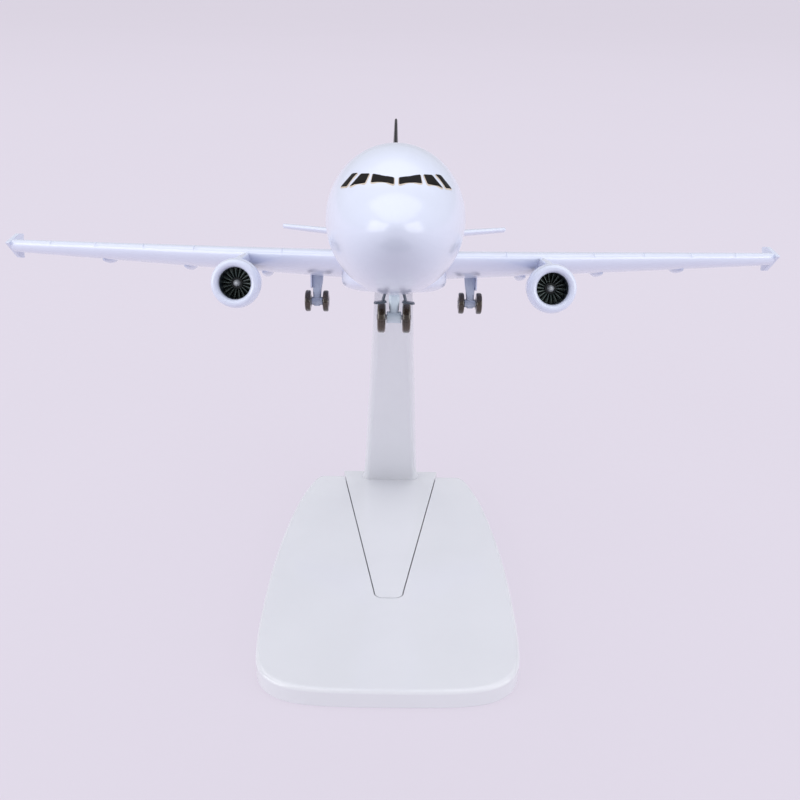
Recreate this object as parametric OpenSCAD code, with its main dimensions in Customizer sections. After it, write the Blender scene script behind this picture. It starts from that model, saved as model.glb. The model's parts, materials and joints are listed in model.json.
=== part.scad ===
// Desktop airliner model: a white twin-engined narrow-body airliner with its wheels down,
// nose-up on a white display stand. Millimetres. The nose points to -Y and +Z is up.
// The origin is the middle of the stand's flat underside. Left and right are the aircraft's own,
// facing forward, so its left side is on +X.

/* [Display stand] */

// Base depth, front edge to rear edge
base_depth = 90; // [60:1:140]
// Base width at its widest, near the front
base_width = 57.6; // [40:0.2:90]
// Base thickness
base_thick = 4.4; // [3.6:0.1:8]
// Bottom cover thickness
cover_thick = 1.2; // [0.8:0.1:1.6]
// Wedge slot half width at the base's rear edge
slot_rear = 13.3; // [8:0.1:18]
// Wedge slot half width at its narrow front end
slot_front = 3.5; // [2:0.1:6]
// Distance from the slot's front end to the base's rear edge
slot_depth = 58.7; // [30:0.5:70]
// Gap between the arm's wedge foot and the slot's walls
slot_gap = 0.22; // [0.1:0.01:0.5]
// How far the lip at the wedge foot's bottom stands out on each side
slot_lip = 0.7; // [0.3:0.05:1.2]
// Arm width where it rises from the foot
arm_low_w = 15.3; // [8:0.1:20]
// Arm width under the aircraft
arm_top_w = 8.1; // [5:0.1:12]
// Arm thickness
arm_thick = 3.4; // [2:0.1:5]
// Width of the tab on top of the arm
tab_w = 5.6; // [4:0.1:7]
// Thickness of the tab on top of the arm
tab_t = 2.4; // [1.6:0.1:3]
// Distance the tab reaches into the belly
tab_len = 6.2; // [4:0.1:7]

/* [Aircraft attitude] */

// Nose-up angle on the stand
nose_up = 16; // [0:1:30]
// Distance of the nose ahead of the base's middle
nose_ahead = 84.9; // [60:0.1:110]
// Height of the fuselage axis at the nose
nose_height = 111; // [80:0.1:150]

/* [Fuselage] */

// Fuselage length
fus_len = 188; // [150:0.5:220]
// Fuselage half width
fus_hw = 9.8; // [8:0.01:12]
// Fuselage half height
fus_hh = 10.5; // [8:0.01:12]
// Nose length, tip to full width
nose_len = 26; // [20:0.5:40]
// Distance of the nose tip below the fuselage axis
nose_drop = 2; // [0:0.1:4]
// Where the tail starts to taper
tail_start = 126; // [110:1:140]
// Shell wall thickness
wall = 1.2; // [0.8:0.1:2]
// Depth of the cockpit panes in the nose
pane_depth = 0.4; // [0.2:0.05:0.8]

/* [Wings] */

// Half span to the outside of the fences
half_span = 85.4; // [70:0.1:100]
// Leading edge at the fuselage side, measured from the nose
wing_le_root = 60; // [50:0.5:70]
// Leading edge sweep
wing_sweep = 27.5; // [15:0.5:40]
// Chord at the fuselage side
root_chord = 30; // [20:0.5:40]
// Chord at the trailing edge kink
kink_chord = 19; // [12:0.5:26]
// Half span of the trailing edge kink
kink_x = 32; // [24:0.5:40]
// Chord at the tip
tip_chord = 7.5; // [5:0.1:12]
// Wing thickness at the fuselage side
root_thick = 4.1; // [2:0.1:5]
// Wing thickness at the kink
kink_thick = 4; // [1.5:0.1:5]
// Wing thickness at the tip
tip_thick = 2.55; // [0.8:0.05:3.5]
// Nose-up setting of the wing on the fuselage
incidence = 7.6; // [0:0.1:10]
// Height of the mid-chord line at the fuselage side
wing_z_root = -6.8; // [-8:0.05:-3]
// Height of the mid-chord line at the tip
wing_z_tip = -3.6; // [-6:0.05:2]

/* [Engines] */

// Distance of each engine from the plane of symmetry
engine_x = 28.2; // [24:0.1:34]
// Height of the engine axis
engine_z = -9.95; // [-13:0.05:-7]
// Front of the inlet lip, measured from the nose
engine_s = 55.5; // [45:0.5:65]
// Largest nacelle radius
nacelle_r = 4.45; // [4:0.05:6.5]
// Inlet throat radius
throat_r = 2.85; // [2.4:0.05:4.5]
// Number of fan blades
fan_blades = 18; // [8:1:24]
// Fan shaft radius
shaft_r = 0.45; // [0.3:0.01:0.8]
// Running clearance of shafts and axles, on the radius
running_gap = 0.05; // [0.02:0.01:0.08]

/* [Landing gear] */

// Main gear distance from the plane of symmetry
main_x = 16; // [14:0.1:21]
// Main gear station, measured from the nose
main_s = 86.5; // [80:0.5:95]
// Main wheel centre height
main_z = -13.95; // [-18:0.05:-12]
// Main wheel radius
main_r = 2.25; // [2:0.05:3]
// Main wheel width
main_w = 1.2; // [0.8:0.05:2]
// Half the spacing of a main wheel pair
main_pair = 1.85; // [1.5:0.01:2.5]
// Nose gear station, measured from the nose
nose_gear_s = 25.6; // [20:0.1:32]
// Nose wheel centre height
nose_gear_z = -13.8; // [-18:0.1:-12]
// Nose wheel radius
nose_r = 2.3; // [1.6:0.05:2.6]
// Nose wheel width
nose_w = 1.2; // [0.8:0.05:1.6]
// Half the spacing of the nose wheel pair
nose_pair = 1.8; // [1.3:0.01:2.3]
// Axle radius
axle_r = 0.4; // [0.3:0.01:0.6]

/* [Tail] */

// Half span of the horizontal tail
tail_half = 34; // [26:0.1:38]
// Height of the horizontal tail at the plane of symmetry
tail_z = 1.5; // [0:0.1:6]
// Height of the fin tip over the fuselage axis
fin_top = 37.2; // [30:0.1:45]

/* [Hidden] */

$fn = 48;
eps = 0.01;
seam_z = -2;
ring_n = 44;
foil_n = 11;
socket_s = 90;
belly_z = -11.4;
screw_r = 0.7;
head_r = 1.4;
paint_white = [0.93, 0.94, 0.97];
paint_black = [0.03, 0.03, 0.035];
paint_dark = [0.1, 0.1, 0.11];
pane_grey = [0.16, 0.15, 0.14];
bronze = [0.5, 0.36, 0.24];
gear_grey = [0.6, 0.64, 0.7];
steel = [0.62, 0.62, 0.6];

// ---------------------------------------------------------------- helpers

// Puts a child from aircraft axes (x right, y aft of the nose, z up) into the stand's frame.
module in_flight() {
    translate([0, -nose_ahead, nose_height])
        rotate([-nose_up, 0, 0])
            children();
}

// Solid through a list of closed rings that all have the same number of points.
module loft(rings) {
    n = len(rings[0]);
    m = len(rings);
    body = [for (j = [0:m - 2], i = [0:n - 1])
        [j * n + i, j * n + (i + 1) % n, (j + 1) * n + (i + 1) % n, (j + 1) * n + i]];
    tris = [for (q = body, k = [0, 1]) k == 0 ? [q[0], q[1], q[2]] : [q[0], q[2], q[3]]];
    first = [[for (i = [n - 1:-1:0]) i]];
    last = [[for (i = [0:n - 1]) (m - 1) * n + i]];
    polyhedron(points = [for (r = rings) each r], faces = concat(tris, first, last), convexity = 6);
}

// Lathe round an axis that runs aft; the outline holds [radius, distance aft] pairs.
module lathe_aft(x, z, outline) {
    translate([x, 0, z])
        rotate([-90, 0, 0])
            rotate_extrude()
                polygon(outline);
}

// Cylinder along x, from x0 to x1, at station s and height z.
module rod_x(x0, x1, s, z, r) {
    translate([x0, s, z])
        rotate([0, 90, 0])
            cylinder(r = r, h = x1 - x0);
}

function mix(a, b, t) = a + (b - a) * t;
function clamp01(t) = min(1, max(0, t));

// ---------------------------------------------------------------- fuselage shape

nose_tops = [[0, -2], [0.4, -0.75], [1, 0], [2, 0.95], [3.5, 2.05], [5, 2.95], [6.5, 3.9],
    [8, 5], [9.5, 6.1], [11, 7.1], [13, 8.2], [16, 9.35], [20, 10.15], [23, 10.4], [26, 10.5]];

function nose_fill(t) = pow(1 - pow(1 - clamp01(t), 2.2), 0.55);
function tail_t(s) = clamp01((s - tail_start) / (fus_len - tail_start));
function fus_half_w(s) = s < nose_len
    ? max(0.12, fus_hw * nose_fill(s / nose_len))
    : fus_hw * (1 - 0.88 * pow(tail_t(s), 1.7));
function fus_top(s) = s < nose_len
    ? lookup(s, nose_tops) * fus_hh / 10.5 + (s < 0.1 ? 0.1 : 0)
    : fus_hh - 3.65 * pow(tail_t(s), 3.2);
function fus_low(s) = s < nose_len
    ? -nose_drop - (fus_hh - nose_drop) * nose_fill(s / (nose_len - 3)) - (s < 0.1 ? 0.1 : 0)
    : -fus_hh + 15.15 * pow(tail_t(s), 1.6);

function fus_ring(s, inset) =
    let (w = fus_half_w(s) - inset,
         h = (fus_top(s) - fus_low(s)) / 2 - inset,
         c = (fus_top(s) + fus_low(s)) / 2)
    [for (i = [0:ring_n - 1]) [w * cos(360 * i / ring_n), s, c + h * sin(360 * i / ring_n)]];

nose_cuts = [0, 0.15, 0.4, 1, 2, 3.5, 5, 6.5, 8, 9.5, 11, 13, 16, 20, 23, 26];
tail_cuts = [126, 134, 142, 150, 158, 166, 174, 181, 188];
inner_cuts = [3.4, 5, 8, 11, 16, 21, 26, 126, 138, 150, 162, 174, 181];

module fuselage_solid() {
    loft([for (s = concat(nose_cuts, tail_cuts)) fus_ring(s, 0)]);
}

module fuselage_inside() {
    loft([for (s = inner_cuts) fus_ring(s, wall)]);
}

// The skin layer that the cockpit panes sit in.
module nose_under_panes() {
    loft([for (s = [2, 3.5, 5, 6.5, 8, 9.5, 11, 13, 16, 20, 23]) fus_ring(s, pane_depth)]);
}

// Six pane outlines seen from the front, mirrored left and right.
module pane_prisms() {
    front = [[0.3, 3.4], [0.3, 4.35], [2.95, 4.9], [3.15, 3.7]];
    side = [[3.35, 4.95], [4.45, 5], [5.85, 3.35], [3.85, 3.65]];
    rear = [[4.9, 5.15], [5.6, 5.15], [7.1, 3.45], [6.25, 3.4]];
    for (m = [0, 1], outline = [front, side, rear])
        mirror([m, 0, 0])
            translate([0, 20, 0])
                rotate([90, 0, 0])
                    linear_extrude(17)
                        polygon(outline);
}

// ---------------------------------------------------------------- wing shape

wing_tip_x = half_span - 0.8;

function wing_le(x) = wing_le_root + (x - fus_hw) * tan(wing_sweep);
function wing_chord(x) = x < kink_x
    ? mix(root_chord, kink_chord, (x - fus_hw) / (kink_x - fus_hw))
    : mix(kink_chord, tip_chord, (x - kink_x) / (half_span - kink_x));
function wing_thick(x) = x < kink_x
    ? mix(root_thick, kink_thick, (x - fus_hw) / (kink_x - fus_hw))
    : mix(kink_thick, tip_thick, (x - kink_x) / (half_span - kink_x));
function wing_mid_z(x) = mix(wing_z_root, wing_z_tip, (x - fus_hw) / (half_span - fus_hw));

// Height of the chord line at span position x and station s.
function wing_axis_z(x, s) = wing_mid_z(x) + (wing_le(x) + 0.5 * wing_chord(x) - s) * tan(incidence);

// Half thickness of a foil of unit thickness at chord fraction u, with a blunt trailing edge.
function foil_half(u) =
    5 * (0.2969 * sqrt(u) - 0.126 * u - 0.3516 * u * u + 0.2843 * pow(u, 3) - 0.1015 * pow(u, 4))
    + 0.03 * u;

function chord_steps(n) = [for (k = [0:n]) (1 - cos(180 * k / n)) / 2];

// Closed ring of [along chord, across] pairs, leading edge at 0.
function foil_ring(chord, thick, n) =
    let (u = chord_steps(n))
    concat([for (k = [n:-1:0]) [u[k] * chord, -thick * foil_half(u[k])]],
           [for (k = [1:n]) [u[k] * chord, thick * foil_half(u[k])]]);

function wing_ring(x) =
    let (c = wing_chord(x))
    [for (p = foil_ring(c, wing_thick(x), foil_n))
        [x, wing_le(x) + p[0], wing_axis_z(x, wing_le(x) + p[0]) + p[1]]];

module wing_solid() {
    loft([for (x = [7, kink_x, wing_tip_x]) wing_ring(x)]);
}

module wing_tab(grow) {
    translate([2.6, 67 - grow, wing_z_root - 0.6 - grow])
        cube([9.4, 11 + 2 * grow, 1.5 + 2 * grow]);
}

// Grooves between the leading edge slats, cut square to the leading edge.
module slat_grooves() {
    for (x = [21, 39.5, 51, 62.5, 74])
        translate([x, wing_le(x), wing_mid_z(x)])
            rotate([0, 0, wing_sweep])
                translate([-0.09, -1.5, -3])
                    cube([0.18, 3.2, 8]);
}

module wing(mirrored) {
    mirror([mirrored, 0, 0])
        difference() {
            union() {
                difference() {
                    wing_solid();
                    fuselage_solid();
                }
                wing_tab(0);
            }
            slat_grooves();
            gear_peg(0);
        }
}

// ---------------------------------------------------------------- tail shapes

function tail_ring(x) =
    let (t = x / tail_half, c = mix(18.5, 7, t))
    [for (p = foil_ring(c, mix(2.6, 1.5, t), 8))
        [x, 155.5 + x * tan(31) + p[0], tail_z + x * tan(5.9) + p[1]]];

module tail_half_solid() {
    loft([for (x = [0.05, tail_half - 0.5]) tail_ring(x)]);
}

function fin_ring(z) =
    let (t = (z - 8.5) / (fin_top - 8.5), c = mix(32, 9, t))
    [for (p = foil_ring(c, mix(2.9, 0.8, t), 8)) [-p[1], mix(149, 176.5, t) + p[0], z]];

module fin_solid() {
    difference() {
        loft([for (z = [8.5, fin_top]) fin_ring(z)]);
        fuselage_solid();
    }
}

module fin_tab(grow) {
    translate([-0.5 - grow, 160 - grow, 6.9])
        cube([1 + 2 * grow, 12 + 2 * grow, 4]);
}

// ---------------------------------------------------------------- gear shapes

module gear_peg(grow) {
    translate([main_x, main_s, wing_axis_z(main_x, main_s) - 3.2])
        cylinder(r = 0.6 + grow, h = 3.4);
}

module tyre(x, s, z, r, w) {
    translate([x, s, z])
        rotate([0, 90, 0])
            rotate_extrude()
                polygon([[r * 0.5, -w / 2], [r * 0.84, -w / 2], [r * 0.95, -w * 0.41], [r, -w * 0.2],
                    [r, w * 0.2], [r * 0.95, w * 0.41], [r * 0.84, w / 2], [r * 0.5, w / 2]]);
}

module hub(x, s, z, r, w) {
    translate([x, s, z])
        rotate([0, 90, 0])
            rotate_extrude()
                polygon([[axle_r, -w * 0.4], [r * 0.5, -w * 0.4], [r * 0.5, w * 0.4], [axle_r, w * 0.4]]);
}

// ---------------------------------------------------------------- stand shapes

// Half outline of the base, front to rear: [half width, distance behind the middle] fractions.
base_half = [[0.2, -1], [0.45, -0.995], [0.66, -0.978], [0.8, -0.945], [0.9, -0.89], [0.955, -0.82],
    [0.98, -0.74], [0.995, -0.6], [1, -0.42], [0.993, -0.12], [0.975, 0.1], [0.945, 0.32],
    [0.9, 0.55], [0.842, 0.75], [0.765, 0.92], [0.72, 0.98], [0.68, 1]];

function base_ring(inset, z) =
    let (w = base_width / 2 - inset,
         d = base_depth / 2 - inset,
         m = len(base_half))
    concat([for (p = base_half) [-p[0] * w, p[1] * d, z]],
           [for (i = [m - 1:-1:0]) [base_half[i][0] * w, base_half[i][1] * d, z]]);

module base_body() {
    loft([base_ring(0.25, 0), base_ring(0, 0.3), base_ring(0, base_thick - 0.9),
        base_ring(0.25, base_thick - 0.3), base_ring(0.9, base_thick)]);
}

module base_plan(inset) {
    polygon([for (p = base_ring(inset, 0)) [p[0], p[1]]]);
}

// Half width of the wedge at distance y behind the middle, for a wedge widened by grow.
slot_corner = 2.2;
slot_slope = (slot_rear - slot_front) / (slot_depth - slot_corner);
function wedge_w(y, grow) = slot_rear - (base_depth / 2 - y) * slot_slope + grow;

// Wedge outline with a flat narrow end whose corners are rounded.
function wedge_points(grow, rear) =
    let (x0 = slot_front - slot_corner,
         y0 = base_depth / 2 - slot_depth + slot_corner,
         side = wedge_w(rear, grow),
         r = slot_corner + grow)
    concat([[side, rear]],
           [for (a = [0:18:90]) [x0 + r * cos(a), y0 - r * sin(a)]],
           [for (a = [90:-18:0]) [-x0 - r * cos(a), y0 - r * sin(a)]],
           [[-side, rear]]);

// Wedge from height low to high, with a wider lip along its lower half that keeps it down in its slot.
module wedge(grow, rear, low, high, lip_top) {
    translate([0, 0, low])
        linear_extrude(high - low)
            polygon(wedge_points(grow, rear));
    translate([0, 0, low])
        linear_extrude(lip_top - low)
            polygon(wedge_points(grow + slot_lip, rear));
}

lip_z = cover_thick + 1.2;
base_screw_spots = [[20, -34], [-20, -34], [19, 30], [-19, 30]];

// ---------------------------------------------------------------- stand

module stand_base() {
    color(paint_white)
        difference() {
            base_body();
            difference() {
                translate([0, 0, -eps])
                    linear_extrude(base_thick - 1.2 + eps)
                        base_plan(1.7);
                for (p = base_screw_spots)
                    translate([p[0], p[1], cover_thick])
                        cylinder(r = 1.9, h = base_thick);
                translate([0, 0, cover_thick])
                    linear_extrude(base_thick)
                        polygon(wedge_points(slot_lip + 1.2, base_depth));
            }
            wedge(0, base_depth, cover_thick - 0.1, base_thick + 0.1, lip_z);
            for (p = base_screw_spots)
                translate([p[0], p[1], 0])
                    cylinder(r = 0.6, h = base_thick - 1.2);
        }
}

module base_cover() {
    color(paint_white)
        difference() {
            linear_extrude(cover_thick)
                base_plan(1.8);
            for (p = base_screw_spots)
                translate([p[0], p[1], -eps]) {
                    cylinder(r = 0.75, h = cover_thick + 1);
                    cylinder(r1 = head_r + 0.05, r2 = screw_r + 0.05, h = 0.7);
                }
        }
}

module base_screws() {
    color(steel)
        for (p = base_screw_spots)
            translate([p[0], p[1], 0.05]) {
                cylinder(r1 = head_r, r2 = 0.6, h = 0.65);
                cylinder(r = 0.6, h = base_thick - 1.4);
            }
}

// Frame position of a point given in aircraft axes, in the plane of symmetry.
function flown(s, z) = [
    -nose_ahead + s * cos(nose_up) + z * sin(nose_up),
    nose_height - s * sin(nose_up) + z * cos(nose_up)];

arm_foot = [base_depth / 2 + 0.6, base_thick - 1];
arm_head = flown(socket_s, belly_z);
arm_run = arm_head[0] - arm_foot[0];
arm_rise = arm_head[1] - arm_foot[1];
arm_len = sqrt(arm_run * arm_run + arm_rise * arm_rise);
arm_lean = atan2(-arm_run, arm_rise);

module arm_column() {
    edge = arm_thick / 2;
    translate([0, arm_foot[0], arm_foot[1]])
        rotate([arm_lean, 0, 0])
            hull()
                for (side = [-1, 1]) {
                    translate([side * (arm_low_w / 2 - edge), 0, 0])
                        cylinder(r = edge, h = 1, $fn = 32);
                    translate([side * (arm_top_w / 2 - edge), 0, arm_len + 3])
                        cylinder(r = edge, h = 1, $fn = 32);
                }
}

module stand_arm() {
    color(paint_white) {
        difference() {
            union() {
                wedge(-slot_gap, base_depth / 2 + 2.6, cover_thick + 0.05, base_thick,
                    lip_z - slot_gap);
                arm_column();
            }
            in_flight()
                translate([-20, 60, belly_z])
                    cube([40, 60, 40]);
        }
        in_flight()
            translate([-tab_w / 2, socket_s - tab_t / 2, belly_z - 1.2])
                cube([tab_w, tab_t, tab_len + 1.2]);
    }
}

// ---------------------------------------------------------------- fuselage

shell_screw_spots = [42, 122];

module shell_half(low, high) {
    difference() {
        intersection() {
            fuselage_solid();
            translate([-15, -5, low])
                cube([30, fus_len + 10, high - low]);
        }
        difference() {
            fuselage_inside();
            for (s = shell_screw_spots)
                translate([0, s, low])
                    cylinder(r = 2, h = high - low);
        }
    }
}

module fuselage_upper() {
    color(paint_white)
        in_flight()
            difference() {
                shell_half(seam_z, 15);
                difference() {
                    pane_prisms();
                    nose_under_panes();
                }
                for (m = [0, 1])
                    mirror([m, 0, 0])
                        tail_half_solid();
                fin_tab(0);
                for (s = shell_screw_spots)
                    translate([0, s, seam_z - eps])
                        cylinder(r = 0.6, h = 6);
            }
}

module wing_cutouts() {
    for (m = [0, 1])
        mirror([m, 0, 0])
            wing_tab(0.02);
}

module socket_hole(grow) {
    translate([-tab_w / 2 - grow, socket_s - tab_t / 2 - grow, belly_z - 2])
        cube([tab_w + 2 * grow, tab_t + 2 * grow, tab_len + 2.1]);
}

module fuselage_lower() {
    color(paint_white)
        in_flight()
            difference() {
                union() {
                    shell_half(-15, seam_z);
                    for (s = [70, 80])
                        translate([0, s, -9.8])
                            cylinder(r = 1.6, h = 1.6);
                    translate([0, nose_gear_s, -9.9])
                        cylinder(r = 1.6, h = 3);
                }
                wing_cutouts();
                socket_hole(0.1);
                translate([0, nose_gear_s, -12])
                    cylinder(r = 0.6, h = 4.6);
                for (s = [70, 80])
                    translate([0, s, -9.2])
                        cylinder(r = 0.5, h = 3);
                for (s = shell_screw_spots)
                    translate([0, s, -12]) {
                        cylinder(r = screw_r + 0.05, h = 12);
                        cylinder(r = head_r + 0.05, h = 2.9);
                    }
            }
}

module fuselage_screws() {
    color(steel)
        in_flight()
            for (s = shell_screw_spots)
                translate([0, s, -10.2]) {
                    cylinder(r = head_r, h = 1.05);
                    cylinder(r = 0.6, h = 11.5);
                }
}

module cockpit_panes() {
    color(pane_grey)
        in_flight()
            intersection() {
                difference() {
                    pane_prisms();
                    nose_under_panes();
                }
                fuselage_solid();
            }
}

// Lower fairing under the wing roots: [station, half width, bottom height].
fairing_cuts = [[53, 3.5, -9.9], [57, 7, -10.6], [62, 9.1, -11.1], [68, 9.9, belly_z],
    [94, 9.9, belly_z], [103, 9, -11.1], [110, 7, -10.6], [116, 3.5, -9.9]];

function fairing_ring(cut) =
    let (top = -5.9, h = (top - cut[2]) / 2)
    [for (i = [0:27])
        let (a = 360 * (i + 0.5) / 28,
             cx = sign(cos(a)) * pow(abs(cos(a)), 0.6),
             cz = sign(sin(a)) * pow(abs(sin(a)), 0.6))
        [cut[1] * cx, cut[0], (top + cut[2]) / 2 + h * cz]];

module belly_fairing() {
    color(paint_white)
        in_flight()
            difference() {
                loft([for (c = fairing_cuts) fairing_ring(c)]);
                fuselage_solid();
                for (m = [0, 1])
                    mirror([m, 0, 0])
                        wing_solid();
                socket_hole(0.1);
            }
}

module mount_socket() {
    color(paint_dark)
        in_flight()
            difference() {
                translate([0, socket_s + 4, 0])
                    rotate([90, 0, 0])
                        linear_extrude(8)
                            polygon([[-4, -4.2], [4, -4.2], [4, -7.8], [3, -8.4], [-3, -8.4], [-4, -7.8]]);
                socket_hole(0.05);
            }
}

module wing_box() {
    color(gear_grey)
        in_flight()
            difference() {
                translate([0, 84, 0])
                    rotate([90, 0, 0])
                        linear_extrude(18)
                            polygon([[-7.5, -3.6], [7.5, -3.6], [7, -5.1], [5.7, -6.7], [3.8, -8.1],
                                [-3.8, -8.1], [-5.7, -6.7], [-7, -5.1]]);
                wing_cutouts();
                for (s = [70, 80])
                    translate([0, s, -10])
                        cylinder(r = 0.6, h = 10);
            }
}

module wing_box_screws() {
    color(steel)
        in_flight()
            for (s = [70, 80])
                translate([0, s, -9.1]) {
                    cylinder(r = 0.5, h = 5.6);
                    translate([0, 0, 5.5])
                        cylinder(r = 1.1, h = 0.7);
                }
}

// ---------------------------------------------------------------- wings and tail

module wing_right() {
    color(paint_white)
        in_flight()
            wing(1);
}

module wing_left() {
    color(paint_white)
        in_flight()
            wing(0);
}

module fence(mirrored) {
    front = wing_le(half_span) - 1.6;
    z = wing_z_tip + 0.45;
    mirror([mirrored, 0, 0])
        translate([half_span, 0, 0])
            rotate([90, 0, -90])
                linear_extrude(0.8)
                    polygon([[-front, z + 0.3], [-front - 6.2, z + 2.5], [-front - 9, z + 2.5],
                        [-front - 8.4, z], [-front - 9, z - 2.9], [-front - 6.6, z - 2.9]]);
}

module fence_right() {
    color(paint_white)
        in_flight()
            fence(1);
}

module fence_left() {
    color(paint_white)
        in_flight()
            fence(0);
}

// Flap track fairings: half span position, length, largest radius.
track_list = [[26.2, 13, 1], [43, 11.5, 0.9], [62, 10, 0.8]];

module flap_tracks(mirrored) {
    mirror([mirrored, 0, 0])
        difference() {
            for (t = track_list) {
                c = wing_chord(t[0]);
                aft = wing_le(t[0]) + c + 2;
                z = wing_axis_z(t[0], aft - 2 - 0.15 * c) - 0.95;
                lathe_aft(t[0], z, [[0, aft - t[1]], [t[2] * 0.3, aft - t[1]], [t[2] * 0.6, aft - t[1] * 0.9],
                    [t[2] * 0.87, aft - t[1] * 0.7], [t[2], aft - t[1] * 0.5],
                    [t[2] * 0.85, aft - t[1] * 0.28], [t[2] * 0.5, aft - t[1] * 0.1],
                    [t[2] * 0.15, aft], [0, aft]]);
            }
            wing_solid();
        }
}

module flap_tracks_right() {
    color(paint_white)
        in_flight()
            flap_tracks(1);
}

module flap_tracks_left() {
    color(paint_white)
        in_flight()
            flap_tracks(0);
}

module stabiliser_right() {
    color(paint_white)
        in_flight()
            mirror([1, 0, 0])
                tail_half_solid();
}

module stabiliser_left() {
    color(paint_white)
        in_flight()
            tail_half_solid();
}

module fin() {
    color(paint_black)
        in_flight() {
            fin_solid();
            difference() {
                fin_tab(0);
                translate([-5, 150, fus_top(172)])
                    cube([10, 30, 5]);
            }
        }
}

// ---------------------------------------------------------------- engines

duct_s = engine_s + 1.8;
fan_s = engine_s + 3.4;
core_s = fan_s + 1.9;
nozzle_s = engine_s + 15.3;
hub_r = 1.05;

module inlet_lip(side) {
    mid = (nacelle_r + throat_r) / 2 - 0.1;
    half = mid - throat_r;
    color(paint_white)
        in_flight()
            lathe_aft(side * engine_x, engine_z, concat(
                [[throat_r, duct_s]],
                [for (a = [180:-15:0]) [mid + half * cos(a), engine_s + 1 - sin(a)]],
                [[nacelle_r - 0.03, duct_s]]));
}

module nacelle(side) {
    color(paint_white)
        in_flight()
            difference() {
                lathe_aft(side * engine_x, engine_z, [[throat_r, duct_s], [nacelle_r - 0.03, duct_s],
                    [nacelle_r, engine_s + 2.4], [nacelle_r - 0.12, engine_s + 4],
                    [nacelle_r - 0.4, engine_s + 6.2], [nacelle_r - 0.9, engine_s + 10],
                    [nacelle_r - 1.6, nozzle_s], [nacelle_r - 1.85, nozzle_s], [throat_r, core_s + 1.6]]);
                pylon_blade(side);
            }
}

module engine_core(side) {
    color(paint_dark)
        in_flight()
            lathe_aft(side * engine_x, engine_z, [[shaft_r + running_gap, core_s], [throat_r, core_s],
                [throat_r, core_s + 1.2], [2, core_s + 1.6], [2.05, nozzle_s - 2], [1.85, nozzle_s + 1.2],
                [1.5, nozzle_s + 1.2], [1.5, core_s + 5], [shaft_r + running_gap, core_s + 5]]);
}

module exhaust_cone(side) {
    color(paint_dark)
        in_flight()
            lathe_aft(side * engine_x, engine_z, [[0, core_s + 5.6], [1.5, core_s + 5.6],
                [1.5, nozzle_s + 1.2], [1.2, nozzle_s + 1.8], [0.3, nozzle_s + 4.6], [0, nozzle_s + 4.6]]);
}

module fan_shaft(side) {
    color(steel)
        in_flight()
            lathe_aft(side * engine_x, engine_z, [[0, fan_s], [shaft_r, fan_s],
                [shaft_r, core_s + 4.9], [0, core_s + 4.9]]);
}

module fan(side) {
    color(paint_dark)
        in_flight()
            translate([side * engine_x, fan_s, engine_z])
                difference() {
                    union() {
                        rotate([-90, 0, 0])
                            cylinder(r = hub_r, h = 1.3);
                        for (i = [0:fan_blades - 1])
                            rotate([0, 360 * i / fan_blades, 0])
                                translate([0, 0.65, hub_r - 0.2])
                                    rotate([0, 0, 38])
                                        translate([-0.12, -0.62, 0])
                                            cube([0.24, 1.24, throat_r - 0.15 - hub_r + 0.2]);
                    }
                    rotate([-90, 0, 0])
                        translate([0, 0, -eps])
                            cylinder(r = shaft_r, h = 3);
                }
}

module spinner(side) {
    color(gear_grey)
        in_flight()
            lathe_aft(side * engine_x, engine_z, [[0, fan_s - 1.2], [0.25, fan_s - 1.1],
                [0.5, fan_s - 0.65], [0.65, fan_s], [0, fan_s]]);
}

// Flat blade between nacelle and wing, before it is trimmed.
module pylon_blade(side) {
    s0 = engine_s + 4;
    top = wing_mid_z(engine_x) + 0.5 * wing_chord(engine_x) * tan(incidence);
    translate([side * engine_x - 0.65, 0, 0])
        rotate([90, 0, 90])
            linear_extrude(1.3)
                polygon([[s0, engine_z + nacelle_r - 0.5], [s0 + 1.5, engine_z + nacelle_r + 0.25],
                    [wing_le(engine_x) - 0.5, top + 0.35], [wing_le(engine_x) + 1.5, top],
                    [wing_le(engine_x) + 11, top - 2.2], [wing_le(engine_x) + 11, top - 3.2],
                    [nozzle_s + 1, engine_z + 2]]);
}

module pylon(side) {
    color(paint_white)
        in_flight()
            difference() {
                pylon_blade(side);
                mirror([side < 0 ? 1 : 0, 0, 0])
                    wing_solid();
                lathe_aft(side * engine_x, engine_z, [[0, duct_s], [throat_r + 0.45, duct_s],
                    [throat_r + 0.45, engine_s + 7], [throat_r + 0.25, engine_s + 10.5],
                    [nacelle_r - 1.73, nozzle_s], [2.3, nozzle_s + 0.4], [1.6, nozzle_s + 5],
                    [0, nozzle_s + 5]]);
            }
}

module pylon_right() { pylon(-1); }
module nacelle_right() { nacelle(-1); }
module inlet_lip_right() { inlet_lip(-1); }
module fan_right() { fan(-1); }
module spinner_right() { spinner(-1); }
module fan_shaft_right() { fan_shaft(-1); }
module engine_core_right() { engine_core(-1); }
module exhaust_cone_right() { exhaust_cone(-1); }
module pylon_left() { pylon(1); }
module nacelle_left() { nacelle(1); }
module inlet_lip_left() { inlet_lip(1); }
module fan_left() { fan(1); }
module spinner_left() { spinner(1); }
module fan_shaft_left() { fan_shaft(1); }
module engine_core_left() { engine_core(1); }
module exhaust_cone_left() { exhaust_cone(1); }

// ---------------------------------------------------------------- landing gear

// Leg of a wheel pair: a post down to a cross sleeve that the axle turns in.
module leg(x, s, z, top, r, sleeve) {
    difference() {
        union() {
            translate([x, s, z])
                cylinder(r = r, h = top - z);
            rod_x(x - sleeve, x + sleeve, s, z, 0.85);
        }
        rod_x(x - sleeve - 1, x + sleeve + 1, s, z, axle_r + running_gap);
    }
}

module nose_leg() {
    color(gear_grey)
        in_flight() {
            difference() {
                leg(0, nose_gear_s, nose_gear_z, -9, 0.85, 1.05);
                fuselage_solid();
            }
            translate([0, nose_gear_s, -11])
                cylinder(r = 0.6, h = 3.3);
        }
}

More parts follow.
